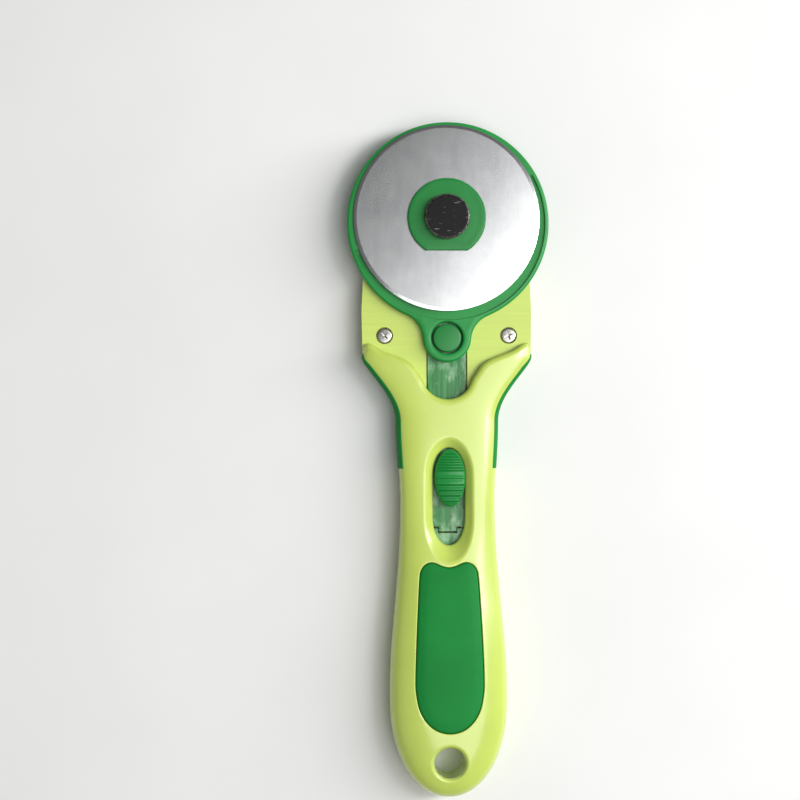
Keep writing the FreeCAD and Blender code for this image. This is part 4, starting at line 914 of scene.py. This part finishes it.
# plates and turned pieces
def softPlate(name, outline, holes, low, high, edge, lower, spacing, topRise=None, lowRise=None, extra=()):
    # a flat piece with rounded edges; topRise and lowRise shift its faces at points of the plan
    outline = counterClockwise(outline)
    holes = [counterClockwise(hole) for hole in holes]
    steps = edgeSteps(5)
    rings = list(extra)
    for share in steps[1:]:
        rings.append(offsetLoop(outline, edge * share))
        rings += [offsetLoop(hole, -edge * share) for hole in holes]
    verts, faces = fillRegion(outline, holes, rings, spacing)
    gap = loopDistance(verts, outline)
    for hole in holes:
        gap = np.minimum(gap, loopDistance(verts, hole))
    top = high - lipDepth(gap, edge) + (topRise(verts, gap) if topRise else 0)
    bottom = low + lipDepth(gap, lower) + (lowRise(verts) if lowRise else 0)
    allVerts, allFaces = closedBody(np.column_stack([verts, top]), np.column_stack([verts, bottom]), faces)
    return makeObject(name, allVerts, allFaces)


strip = {"shrink": 0.14, "edge": 0.12, "endGap": 0.24, "tabHalf": 2.9, "tabLength": 1.5, "shank": 2.05,
         "footRoom": 3.55, "footDepth": 0.62}


def straightLoop(corners, step):
    # a closed loop through sharp corners, with points along each side
    corners = np.array(corners, float)
    sides = []
    for a, b in zip(corners, np.roll(corners, -1, axis=0)):
        count = max(1, int(math.ceil(np.hypot(*(b - a)) / step)))
        sides.append(a + (b - a) * (np.arange(count) / count)[:, None])
    return np.vstack(sides)


def buildStrip():
    # the flat slide strip with its tab, slightly slimmer than its channel
    b = strip
    low, high = span("slide_strip")
    half = high[0] - b["shrink"]
    tabEnd = low[1] + b["endGap"]
    shoulder = tabEnd + b["tabLength"]
    corners = [(half, high[1]), (-half, high[1]), (-half, shoulder), (-b["tabHalf"], shoulder),
               (-b["tabHalf"], tabEnd), (b["tabHalf"], tabEnd), (b["tabHalf"], shoulder), (half, shoulder)]
    outline = straightLoop(corners, 0.5)
    hole = arcLine(0, bossY, b["shank"], 0, 360, 49)[:-1]
    seats = [arcLine(0, bossY, b["footRoom"] + extra, 0, 360, 61)[:-1] for extra in (0.0, 0.04)]

    def footSeat(points):
        away = np.hypot(points[:, 0], points[:, 1] - bossY)
        return np.where(away < b["footRoom"] + 0.02, b["footDepth"], 0.0)

    return softPlate("slideStrip", outline, [hole], low[2], high[2], b["edge"], 0.05, 1.4,
                     lowRise=footSeat, extra=seats)


def lathe(name, profile, x, y, segments=96):
    # turned piece: the profile runs from the axis at the bottom to the axis at the top
    profile = np.asarray(profile, float)
    angle = np.linspace(0, 2 * math.pi, segments, endpoint=False)
    verts, faces, rings = [], [], []
    for radius, level in profile:
        if radius < 1e-6:
            rings.append([len(verts)])
            verts.append((x, y, level))
            continue
        rings.append(list(range(len(verts), len(verts) + segments)))
        verts += [(x + radius * math.cos(a), y + radius * math.sin(a), level) for a in angle]
    for one, two in zip(rings[:-1], rings[1:]):
        for k in range(segments):
            n = (k + 1) % segments
            if len(one) == 1 and len(two) > 1:
                faces.append((one[0], two[n], two[k]))
            elif len(two) == 1 and len(one) > 1:
                faces.append((one[k], one[n], two[0]))
            elif len(one) > 1:
                faces.append((one[k], one[n], two[n], two[k]))
    return makeObject(name, verts, faces)


def roundedCorner(cx, cy, radius, start, end, count=6):
    angle = np.radians(np.linspace(start, end, count))
    return [(cx + radius * math.cos(a), cy + radius * math.sin(a)) for a in angle]


guardLow, guardHigh = span("blade_guard")
guard = {
    "bossRadius": 7.8, "bore": 5.1, "foot": 6.1, "fillet": 9.0, "rim": 1.2, "ledge": 0.8, "land": 0.4,
    "ledgeStart": -163, "ledgeEnd": 30, "slot": 4.15, "slotBorder": 3.25, "edge": 0.75, "lower": 0.35,
    "lipRise": 0.16, "spacing": 1.25, "thickness": 2.5, "gap": 0.2, "ledgeWall": 0.16,
}
guardRadius = (guardHigh[0] - guardLow[0]) / 2
guardX = (guardHigh[0] + guardLow[0]) / 2
guardCentreY = guardHigh[1] - guardRadius
guardBack = partingZ + guard["gap"]
guardFront = guardBack + guard["thickness"]


def guardOutline():
    g = guard
    discR, bossR, fillet = guardRadius, g["bossRadius"], g["fillet"]
    disc, boss = np.array([guardX, guardCentreY]), np.array([0.0, bossY])
    gap = boss - disc
    length = np.linalg.norm(gap)
    toDisc, toBoss = discR + fillet, bossR + fillet
    along = (length ** 2 + toDisc ** 2 - toBoss ** 2) / (2 * length)
    across = math.sqrt(toDisc ** 2 - along ** 2)
    unit = gap / length
    normal = np.array([-unit[1], unit[0]])
    one, two = disc + unit * along + normal * across, disc + unit * along - normal * across
    right, left = (one, two) if one[0] > two[0] else (two, one)

    def angleOf(centre, point):
        return math.degrees(math.atan2(point[1] - centre[1], point[0] - centre[0]))

    def arc(centre, radius, a, b, turn):
        while turn > 0 and b <= a:
            b += 360
        while turn < 0 and b >= a:
            b -= 360
        count = max(8, int(abs(b - a) * radius * math.pi / 180 / 0.6))
        return arcLine(centre[0], centre[1], radius, a, b, count)[:-1]

    return np.vstack([
        arc(disc, discR, angleOf(disc, right), angleOf(disc, left), 1),
        arc(left, fillet, angleOf(left, disc), angleOf(left, boss), -1),
        arc(boss, bossR, angleOf(boss, left), angleOf(boss, right), 1),
        arc(right, fillet, angleOf(right, boss), angleOf(right, disc), -1)])


def buildGuard():
    g = guard
    outline = guardOutline()
    slot = ovalLine(g["slot"], guardTravel + g["slot"], -g["slot"], g["slot"], 24)
    bore = arcLine(0, bossY, g["bore"], 0, 360, 73)[:-1]
    ledgeR = guardRadius - g["rim"]
    ringOuter = arcLine(guardX, guardCentreY, ledgeR, 0, 360, 241)[:-1]
    ringInner = arcLine(guardX, guardCentreY, ledgeR - g["ledgeWall"], 0, 360, 241)[:-1]
    foot = arcLine(0, bossY, g["foot"], 0, 360, 73)[:-1]
    a, b = math.radians(g["ledgeStart"]), math.radians(g["ledgeEnd"])
    ends = [np.array([guardX + ledgeR * math.cos(t), guardCentreY + ledgeR * math.sin(t)]) for t in (a, b)]
    chord = ends[1] - ends[0]
    chord /= np.linalg.norm(chord)

    def topRise(points, gap):
        away = np.hypot(points[:, 0] - guardX, points[:, 1] - guardCentreY)
        beside = (points[:, 0] - ends[0][0]) * chord[1] - (points[:, 1] - ends[0][1]) * chord[0]
        inwards = np.minimum(ledgeR - away, beside)
        rise = -g["ledge"] * smooth(inwards / g["ledgeWall"])
        slotGap = loopDistance(points, slot)
        onLand = (slotGap < g["slotBorder"]) & (inwards > 1)
        rise = np.where(onLand, g["land"], rise)
        onBoss = smooth((away - guardRadius + 1.5) / 2.5)
        ridge = np.exp(-((gap - 1.15) / 0.55) ** 2) * g["lipRise"]
        nearBore = np.abs(np.hypot(points[:, 0], points[:, 1] - bossY) - g["bore"]) < 1.9
        return rise + np.where(nearBore, 0, ridge * onBoss)

    def lowRise(points):
        onFoot = np.hypot(points[:, 0], points[:, 1] - bossY) < g["foot"] - 0.01
        return np.where(onFoot, stripTop - guardBack, 0)

    whole = [ring for ring in (ringOuter, ringInner, foot) if inside(ring, outline).all()]
    return softPlate("guardDisc", outline, [slot, bore], guardBack, guardFront, g["edge"], g["lower"],
                     g["spacing"], topRise, lowRise, whole)


finishPiece(buildGuard(), "guard", "guard", "green_plastic", "blade_guard")

rivetLow, rivetHigh = span("guard_rivet")
rivet = {"cap": 4.5, "shank": 2.0, "foot": 3.5, "footHeight": 0.6, "round": 0.4, "dome": 0.16}


def buildRivet():
    r = rivet
    low, high = rivetLow[2], rivetHigh[2]
    profile = [(0, low), (r["foot"], low), (r["foot"], low + r["footHeight"]),
               (r["shank"], low + r["footHeight"]), (r["shank"], stripTop), (r["cap"], stripTop)]
    profile += roundedCorner(r["cap"] - r["round"], high - r["dome"] - r["round"], r["round"], 0, 80, 8)
    inner = r["cap"] - r["round"]
    profile += [(inner * k / 8, high - r["dome"] * (k / 8) ** 2) for k in range(7, -1, -1)]
    return lathe("rivetCap", profile, 0, bossY)


finishPiece(buildRivet(), "green", "guard", "green_plastic", "guard_rivet")

collarLow, collarHigh = span("hub_washer")
collar = {"radius": 12.65, "hole": 4.06, "edge": 0.42, "lower": 0.12}


def buildCollar():
    c = collar
    flat = collarLow[1]
    half = math.degrees(math.acos(-flat / c["radius"]))
    curve = arcLine(0, 0, c["radius"], -90 + half, 270 - half, 180)
    corner = c["radius"] * math.sin(math.radians(half))
    line = np.stack([np.linspace(-corner, corner, 26)[1:-1], np.full(24, flat)], -1)
    hole = arcLine(0, 0, c["hole"], 0, 360, 73)[:-1]
    return softPlate("hubCollar", np.vstack([curve, line]), [hole], collarLow[2], collarHigh[2], c["edge"],
                     c["lower"], 1.0, lambda points, gap: -0.06 * smooth((np.hypot(*points.T) - 8.5) / 1.5))


finishPiece(buildCollar(), "green", "handle", "green_plastic", "hub_washer")

knobLow, knobHigh = span("nut_knob")
knob = {"scallops": 12, "depth": 0.85, "edge": 0.5, "lower": 1.0, "insert": 5.02, "insertHeight": 4.4,
        "dish": 0.5, "dishRadius": 7.2}


def buildKnob():
    k = knob
    outerR = (knobHigh[0] - knobLow[0]) / 2
    angle = np.linspace(0, 2 * math.pi, 360, endpoint=False)
    wave = np.clip(np.cos(angle * k["scallops"]), 0, 1) ** 1.4
    radius = outerR - k["depth"] * wave
    outline = np.stack([radius * np.cos(angle), radius * np.sin(angle)], -1)
    seat = arcLine(0, 0, k["insert"], 0, 360, 73)[:-1]
    inner = arcLine(0, 0, k["insert"] - 0.03, 0, 360, 73)[:-1]
    bowl = arcLine(0, 0, k["dishRadius"], 0, 360, 73)[:-1]

    def topRise(points, gap):
        return np.where(np.hypot(*points.T) < k["insert"] - 0.02, -k["insertHeight"], 0)

    def lowRise(points):
        return k["dish"] * smooth((k["dishRadius"] - np.hypot(*points.T)) / 0.8)

    return softPlate("knobGrip", outline, [], knobLow[2], knobHigh[2], k["edge"], k["lower"], 0.9, topRise,
                     lowRise, [seat, inner, bowl])


finishPiece(buildKnob(), "green", "nut", "green_plastic", "nut_knob")
print("guard, rivet, collar and knob made")


# pieces made by geometry nodes
def newTree(name, sockets):
    tree = bpy.data.node_groups.new(name, "GeometryNodeTree")
    tree.interface.new_socket("Geometry", in_out="INPUT", socket_type="NodeSocketGeometry")
    for label, kind in sockets:
        tree.interface.new_socket(label, in_out="INPUT", socket_type=kind)
    tree.interface.new_socket("Geometry", in_out="OUTPUT", socket_type="NodeSocketGeometry")
    return tree, tree.nodes.new("NodeGroupInput"), tree.nodes.new("NodeGroupOutput")


def mathNode(tree, operation, *values):
    node = tree.nodes.new("ShaderNodeMath")
    node.operation = operation
    for socket, value in zip(node.inputs, values):
        if isinstance(value, (int, float)):
            socket.default_value = value
        else:
            tree.links.new(value, socket)
    return node.outputs[0]


def closeTree(tree, geometry, material, output):
    realize = tree.nodes.new("GeometryNodeRealizeInstances")
    paint = tree.nodes.new("GeometryNodeSetMaterial")
    tree.links.new(geometry, realize.inputs["Geometry"])
    tree.links.new(realize.outputs["Geometry"], paint.inputs["Geometry"])
    tree.links.new(material, paint.inputs["Material"])
    tree.links.new(paint.outputs["Geometry"], output.inputs["Geometry"])


def settle(piece, tree, values, name):
    # runs the tree once and keeps its result as a plain mesh
    modifier = piece.modifiers.new("shape", "NODES")
    modifier.node_group = tree
    for item in tree.interface.items_tree:
        if item.item_type == "SOCKET" and item.in_out == "INPUT" and item.name in values:
            modifier[item.identifier] = values[item.name]
    bpy.context.view_layer.update()
    ready = piece.evaluated_get(bpy.context.evaluated_depsgraph_get())
    mesh = bpy.data.meshes.new_from_object(ready)
    piece.modifiers.remove(modifier)
    bpy.data.objects.remove(piece)
    made = bpy.data.objects.new(name, mesh)
    mesh.name = name
    scene.collection.objects.link(made)
    mesh.shade_smooth()
    mesh.set_sharp_from_angle(angle=math.radians(38))
    return made


def ribTree():
    # cross ribs above and below a smooth band; crest says how much a vertex takes part
    tree, given, output = newTree("thumbRibs", [
        ("Pitch", "NodeSocketFloat"), ("Depth", "NodeSocketFloat"), ("Band", "NodeSocketFloat"),
        ("Middle", "NodeSocketFloat"), ("Groove", "NodeSocketFloat"), ("Lower", "NodeSocketFloat"),
        ("Material", "NodeSocketMaterial")])
    position = tree.nodes.new("GeometryNodeInputPosition")
    split = tree.nodes.new("ShaderNodeSeparateXYZ")
    tree.links.new(position.outputs[0], split.inputs[0])
    y = mathNode(tree, "SUBTRACT", split.outputs["Y"], given.outputs["Middle"])
    away = mathNode(tree, "SUBTRACT", mathNode(tree, "ABSOLUTE", y),
                    mathNode(tree, "DIVIDE", given.outputs["Band"], 2.0))
    beyond = mathNode(tree, "GREATER_THAN", away, 0.0)
    upper = mathNode(tree, "GREATER_THAN", y, 0.0)
    count = mathNode(tree, "DIVIDE", away, given.outputs["Pitch"])
    phase = mathNode(tree, "FRACT", count)
    near = mathNode(tree, "ABSOLUTE", mathNode(tree, "SUBTRACT", phase, 0.5))
    groove = tree.nodes.new("ShaderNodeMapRange")
    groove.interpolation_type = "SMOOTHSTEP"
    tree.links.new(near, groove.inputs["Value"])
    tree.links.new(given.outputs["Groove"], groove.inputs["From Max"])
    groove.inputs["To Min"].default_value = 1.0
    groove.inputs["To Max"].default_value = 0.0
    # every other groove of the lower set is cut deeper
    odd = mathNode(tree, "LESS_THAN", mathNode(tree, "FRACT", mathNode(tree, "MULTIPLY", count, 0.5)), 0.5)
    lowerDepth = mathNode(tree, "ADD", mathNode(tree, "MULTIPLY", odd, given.outputs["Lower"]), 0.35)
    both = mathNode(tree, "ADD", upper, mathNode(tree, "MULTIPLY", mathNode(tree, "SUBTRACT", 1.0, upper),
                                                lowerDepth))
    crest = tree.nodes.new("GeometryNodeInputNamedAttribute")
    crest.data_type = "FLOAT"
    crest.inputs["Name"].default_value = "crest"
    sink = mathNode(tree, "MULTIPLY", groove.outputs["Result"], given.outputs["Depth"])
    sink = mathNode(tree, "MULTIPLY", mathNode(tree, "MULTIPLY", sink, both), beyond)
    sink = mathNode(tree, "MULTIPLY", mathNode(tree, "MULTIPLY", sink, crest.outputs["Attribute"]), -1.0)
    move = tree.nodes.new("ShaderNodeCombineXYZ")
    tree.links.new(sink, move.inputs["Z"])
    shift = tree.nodes.new("GeometryNodeSetPosition")
    tree.links.new(given.outputs["Geometry"], shift.inputs["Geometry"])
    tree.links.new(move.outputs[0], shift.inputs["Offset"])
    closeTree(tree, shift.outputs["Geometry"], given.outputs["Material"], output)
    return tree


button = {
    "shift": 0.7, "halfX": 4.95, "halfY": 9.25, "neck": 0.93, "neckTop": 11.5, "capLow": 12.1,
    "edge": 0.8, "crown": 0.75, "crownDrop": 0.15, "endDrop": 0.9, "band": 3.75, "bandHollow": 0.30,
    "bandLine": 0.60, "upperSlope": 0.85, "lowerSlope": 0.24, "pitch": 0.88, "depth": 0.46, "groove": 0.40,
    "rowStep": 0.11, "columns": 29, "lowerDepth": 0.75,
}


def buildButton():
    b = button
    low, high = stripTop, buttonHigh[2]
    centreY = (buttonLow[1] + buttonHigh[1]) / 2
    rows = np.arange(-b["halfY"] + 0.02, b["halfY"], b["rowStep"])
    verts, crest = [], []
    columns = b["columns"]
    across = np.sin(np.linspace(-math.pi / 2, math.pi / 2, columns))
    for y in rows:
        half = b["halfX"] * math.sqrt(max(1 - (y / b["halfY"]) ** 2, 0))
        for t in across:
            x = half * t
            edge = b["halfX"] * (1 - math.hypot(x / b["halfX"], y / b["halfY"]))
            level = high - b["crownDrop"] - b["crown"] * (x / b["halfX"]) ** 2
            level -= b["endDrop"] * (y / b["halfY"]) ** 4
            level -= float(lipDepth(np.array(edge), b["edge"]))
            if abs(y) < b["band"] / 2:
                dip = math.cos(y / b["band"] * math.pi) ** 2
                level -= b["bandHollow"] * dip
                slope = b["upperSlope"] if y > 0 else b["lowerSlope"]
                level += b["bandLine"] * math.exp(-(y / slope) ** 2)
            verts.append((x + b["shift"], centreY + y, level))
            crest.append(min(1.0, max(0.0, (edge - 0.05) / 0.5)))
    grid = gridFaces(len(rows), columns)
    top = np.array(verts)
    bottom = top.copy()
    bottom[:, 2] = low
    middlePoint = np.array([b["shift"] * 0.4, centreY])
    bottom[:, :2] = middlePoint + (top[:, :2] - np.array([b["shift"], centreY])) * b["neck"]

    def capEdge(upper, lower):
        return np.column_stack([upper[:, :2], np.minimum(upper[:, 2] - 0.02, b["capLow"])])

    def neckEdge(upper, lower):
        return np.column_stack([lower[:, :2], np.minimum(upper[:, 2] - 0.05, b["neckTop"])])

    allVerts, allFaces = closedBody(top, bottom, grid, [capEdge, neckEdge])
    allCrest = crest + [0.0] * (len(allVerts) - len(crest))
    mesh = bpy.data.meshes.new("sliderBase")
    mesh.from_pydata((allVerts * mm).tolist(), [], [tuple(int(i) for i in f) for f in allFaces])
    mesh.update()
    attribute = mesh.attributes.new("crest", "FLOAT", "POINT")
    attribute.data.foreach_set("value", allCrest)
    base = bpy.data.objects.new("sliderBase", mesh)
    scene.collection.objects.link(base)
    tidy = bmesh.new()
    tidy.from_mesh(mesh)
    bmesh.ops.recalc_face_normals(tidy, faces=tidy.faces)
    tidy.to_mesh(mesh)
    tidy.free()
    return settle(base, ribTree(), {
        "Pitch": b["pitch"] * mm, "Depth": b["depth"] * mm, "Band": b["band"] * mm,
        "Middle": centreY * mm, "Groove": b["groove"], "Lower": b["lowerDepth"],
        "Material": materials["slider"]}, "thumbSlider")


finishPiece(buildButton(), "slider", "guard", "green_plastic", "thumb_button")
print("thumb slider made")

screw = {"radius": 2.475, "height": 1.3, "shank": 1.3, "arm": 1.42, "half": 0.27, "recess": 1.0, "edge": 0.35,
         "crown": 0.12, "flare": 0.7, "wallRun": 0.07, "recessFade": 0.35,
         "pairTurns": [45, 20], "trioTurns": [10, 62, 35]}


def crossHead():
    # one screw with its seat at the origin and its head along +Z
    s = screw
    arm, half = s["arm"], s["half"]
    quarter = np.array([(arm, -half * s["flare"]), (arm, half * s["flare"]), (half, half)])
    cross = []
    for turn in range(4):
        c, n = math.cos(turn * math.pi / 2), math.sin(turn * math.pi / 2)
        cross.append(quarter @ np.array([[c, n], [-n, c]]))
    cross = resample(np.vstack(cross), 0.09)
    inner = offsetLoop(counterClockwise(cross), s["wallRun"])
    rim = arcLine(0, 0, s["radius"], 0, 360, 61)[:-1]
    steps = edgeSteps(5)
    rings = [offsetLoop(rim, s["edge"] * share) for share in steps[1:]]
    verts, faces = fillRegion(rim, [], rings + [cross, inner], 0.35)
    gap = loopDistance(verts, rim)
    within = inside(verts, cross)
    depth = np.where(within, np.clip(loopDistance(verts, cross) / s["wallRun"], 0, 1), 0)
    away = np.hypot(*verts.T)
    top = s["height"] - lipDepth(gap, s["edge"]) - s["crown"] * (away / s["radius"]) ** 2
    top = top - depth * s["recess"] * (1 - s["recessFade"] * away / arm)
    head = np.column_stack([verts, top])
    foot = np.column_stack([verts, np.zeros(len(verts))])
    allVerts, allFaces = closedBody(head, foot, faces)
    return makeObject("crossHead", allVerts, allFaces)


def screwTree():
    tree, given, output = newTree("screwSet", [
        ("Screw", "NodeSocketObject"), ("Shank", "NodeSocketObject"), ("Length", "NodeSocketFloat"),
        ("Facing", "NodeSocketFloat"), ("Material", "NodeSocketMaterial")])
    turn = tree.nodes.new("GeometryNodeInputNamedAttribute")
    turn.data_type = "FLOAT"
    turn.inputs["Name"].default_value = "turn"
    tilt = tree.nodes.new("ShaderNodeCombineXYZ")
    tree.links.new(given.outputs["Facing"], tilt.inputs["X"])
    tree.links.new(turn.outputs["Attribute"], tilt.inputs["Z"])
    join = tree.nodes.new("GeometryNodeJoinGeometry")
    for label in ("Screw", "Shank"):
        info = tree.nodes.new("GeometryNodeObjectInfo")
        tree.links.new(given.outputs[label], info.inputs["Object"])
        instances = tree.nodes.new("GeometryNodeInstanceOnPoints")
        tree.links.new(given.outputs["Geometry"], instances.inputs["Points"])
        tree.links.new(info.outputs["Geometry"], instances.inputs["Instance"])
        tree.links.new(tilt.outputs[0], instances.inputs["Rotation"])
        if label == "Shank":
            size = tree.nodes.new("ShaderNodeCombineXYZ")
            size.inputs[0].default_value = size.inputs[1].default_value = 1.0
            tree.links.new(given.outputs["Length"], size.inputs[2])
            tree.links.new(size.outputs[0], instances.inputs["Scale"])
        tree.links.new(instances.outputs["Instances"], join.inputs["Geometry"])
    closeTree(tree, join.outputs["Geometry"], given.outputs["Material"], output)
    return tree


def screwSet(name, places, turns, length, facing, tree, head, shank):
    mesh = bpy.data.meshes.new(name + "Points")
    mesh.from_pydata([tuple(c * mm for c in place) for place in places], [], [])
    mesh.attributes.new("turn", "FLOAT", "POINT").data.foreach_set("value", [math.radians(t) for t in turns])
    points = bpy.data.objects.new(name + "Points", mesh)
    scene.collection.objects.link(points)
    return settle(points, tree, {"Screw": head, "Shank": shank, "Length": length, "Facing": facing,
                                 "Material": materials["zinc"]}, name)


def buildScrews():
    head = crossHead()
    shank = lathe("screwShank", [(0, -1.0), (screw["shank"] * 0.7, -1.0), (screw["shank"], -0.9),
                                 (screw["shank"], 0.0), (0, 0.0)], 0, 0, 24)
    tree = screwTree()
    headLow, headHigh = span("head_screws")
    seat = headHigh[2] - screw["height"]
    x = headHigh[0] - screw["radius"]
    y = (headLow[1] + headHigh[1]) / 2
    pair = screwSet("headScrewPair", [(-x, y, seat), (x, y, seat)], screw["pairTurns"], seat - headLow[2],
                    0.0, tree, head, shank)
    finishPiece(pair, "zinc", "handle", "zinc_steel", "head_screws")
    low, high = span("shell_screws")
    seat = low[2] + screw["height"]
    places = [(-(high[0] - screw["radius"]), high[1] - screw["radius"], seat),
              (high[0] - screw["radius"], high[1] - screw["radius"], seat),
              (0, low[1] + screw["radius"], seat)]
    trio = screwSet("shellScrewSet", places, screw["trioTurns"], high[2] - seat, math.pi, tree, head, shank)
    finishPiece(trio, "zinc", "handle", "zinc_steel", "shell_screws")
    bpy.data.objects.remove(head)
    bpy.data.objects.remove(shank)


buildScrews()
print("screws made")


finishPiece(buildStrip(), "strip", "guard", "green_plastic", "slide_strip")
print("slide strip made")

# parts shown with the shape that the pack gives them, and the finish of each
carried = {
    "blade": "blade", "axle_bolt": "black", "wave_washer": "zinc", "slip_washer": "zinc",
    "nut_insert": "brass", "head_plate": "plate", "detent_clip": "strip",
    "back_shell": "lime", "head_inserts": "brass",
}
for node, key in carried.items():
    mesh = frame["nodes"][node].data
    mesh.materials.clear()
    mesh.materials.append(materials[key])
print("carried-over parts finished")


# floor, light and camera, in metres
floorReach, floorGap = 3.0, 0.0003


def makeFloor():
    mesh = bpy.data.meshes.new("floor")
    reach = floorReach
    mesh.from_pydata([(-reach, -reach, 0), (reach, -reach, 0), (reach, reach, 0), (-reach, reach, 0)],
                     [], [(0, 1, 2, 3)])
    floor = bpy.data.objects.new("floor", mesh)
    scene.collection.objects.link(floor)
    floor.location.z = cadLow.z - floorGap
    material, tree, shader, coords = newMaterial("floorPaper")
    tree.links.new(ramp(tree, noise(tree, coords, 14, 3, 0.5), [(0.3, (0.80, 0.80, 0.79, 1)),
                                                              (0.7, (0.84, 0.84, 0.83, 1))]),
                   shader.inputs["Base Color"])
    shader.inputs["Roughness"].default_value = 0.8
    floor.data.materials.append(material)


# places and sizes in metres, power in watts
lights = {
    "keyRight": {"place": (0.74, 0.10, 0.60), "aim": (0, -0.06, 0), "size": (0.20, 1.1), "power": 9.6},
    "topSoft": {"place": (0.32, -0.25, 1.25), "aim": (0.10, -0.08, 0), "size": (0.92, 0.73), "power": 7.8},
    "fillLeft": {"place": (-0.8, -0.3, 0.6), "aim": (0, -0.06, 0), "size": (0.7, 0.7), "power": 0.35},
}
worldLevel = 0.16


def areaLight(name, place, target, size, power):
    light = bpy.data.lights.new(name, "AREA")
    light.shape, light.size, light.size_y = "RECTANGLE", size[0], size[1]
    light.energy = power
    lamp = bpy.data.objects.new(name, light)
    lamp.location = place
    lamp.rotation_euler = (Vector(target) - Vector(place)).to_track_quat("-Z", "Y").to_euler()
    scene.collection.objects.link(lamp)


camera = {"distance": 0.55, "target": (-0.01533, -0.05868, 0.0124), "leanX": -2.4, "leanY": -1.3,
          "lens": 77.13, "roll": -0.26}


def makeCamera():
    data = bpy.data.cameras.new("camera")
    data.sensor_width, data.lens = 36.0, camera["lens"]
    data.clip_start, data.clip_end = 0.01, 20
    eye = bpy.data.objects.new("camera", data)
    back = Vector((math.tan(math.radians(camera["leanX"])), math.tan(math.radians(camera["leanY"])), 1))
    back.normalize()
    right = Vector((0, 1, 0)).cross(back).normalized()
    up = back.cross(right)
    turn = Matrix((right, up, back)).transposed().to_4x4()
    eye.matrix_world = (Matrix.Translation(Vector(camera["target"]) + back * camera["distance"])
                        @ turn @ Matrix.Rotation(math.radians(camera["roll"]), 4, "Z"))
    scene.collection.objects.link(eye)
    scene.camera = eye


makeFloor()
for label, lamp in lights.items():
    areaLight(label, lamp["place"], lamp["aim"], lamp["size"], lamp["power"])
world = bpy.data.worlds.new("studio")
world.use_nodes = True
world.node_tree.nodes["Background"].inputs[0].default_value = (1, 1, 1, 1)
world.node_tree.nodes["Background"].inputs[1].default_value = worldLevel
scene.world = world
scene.view_settings.view_transform = "Standard"
makeCamera()
print("stage set")
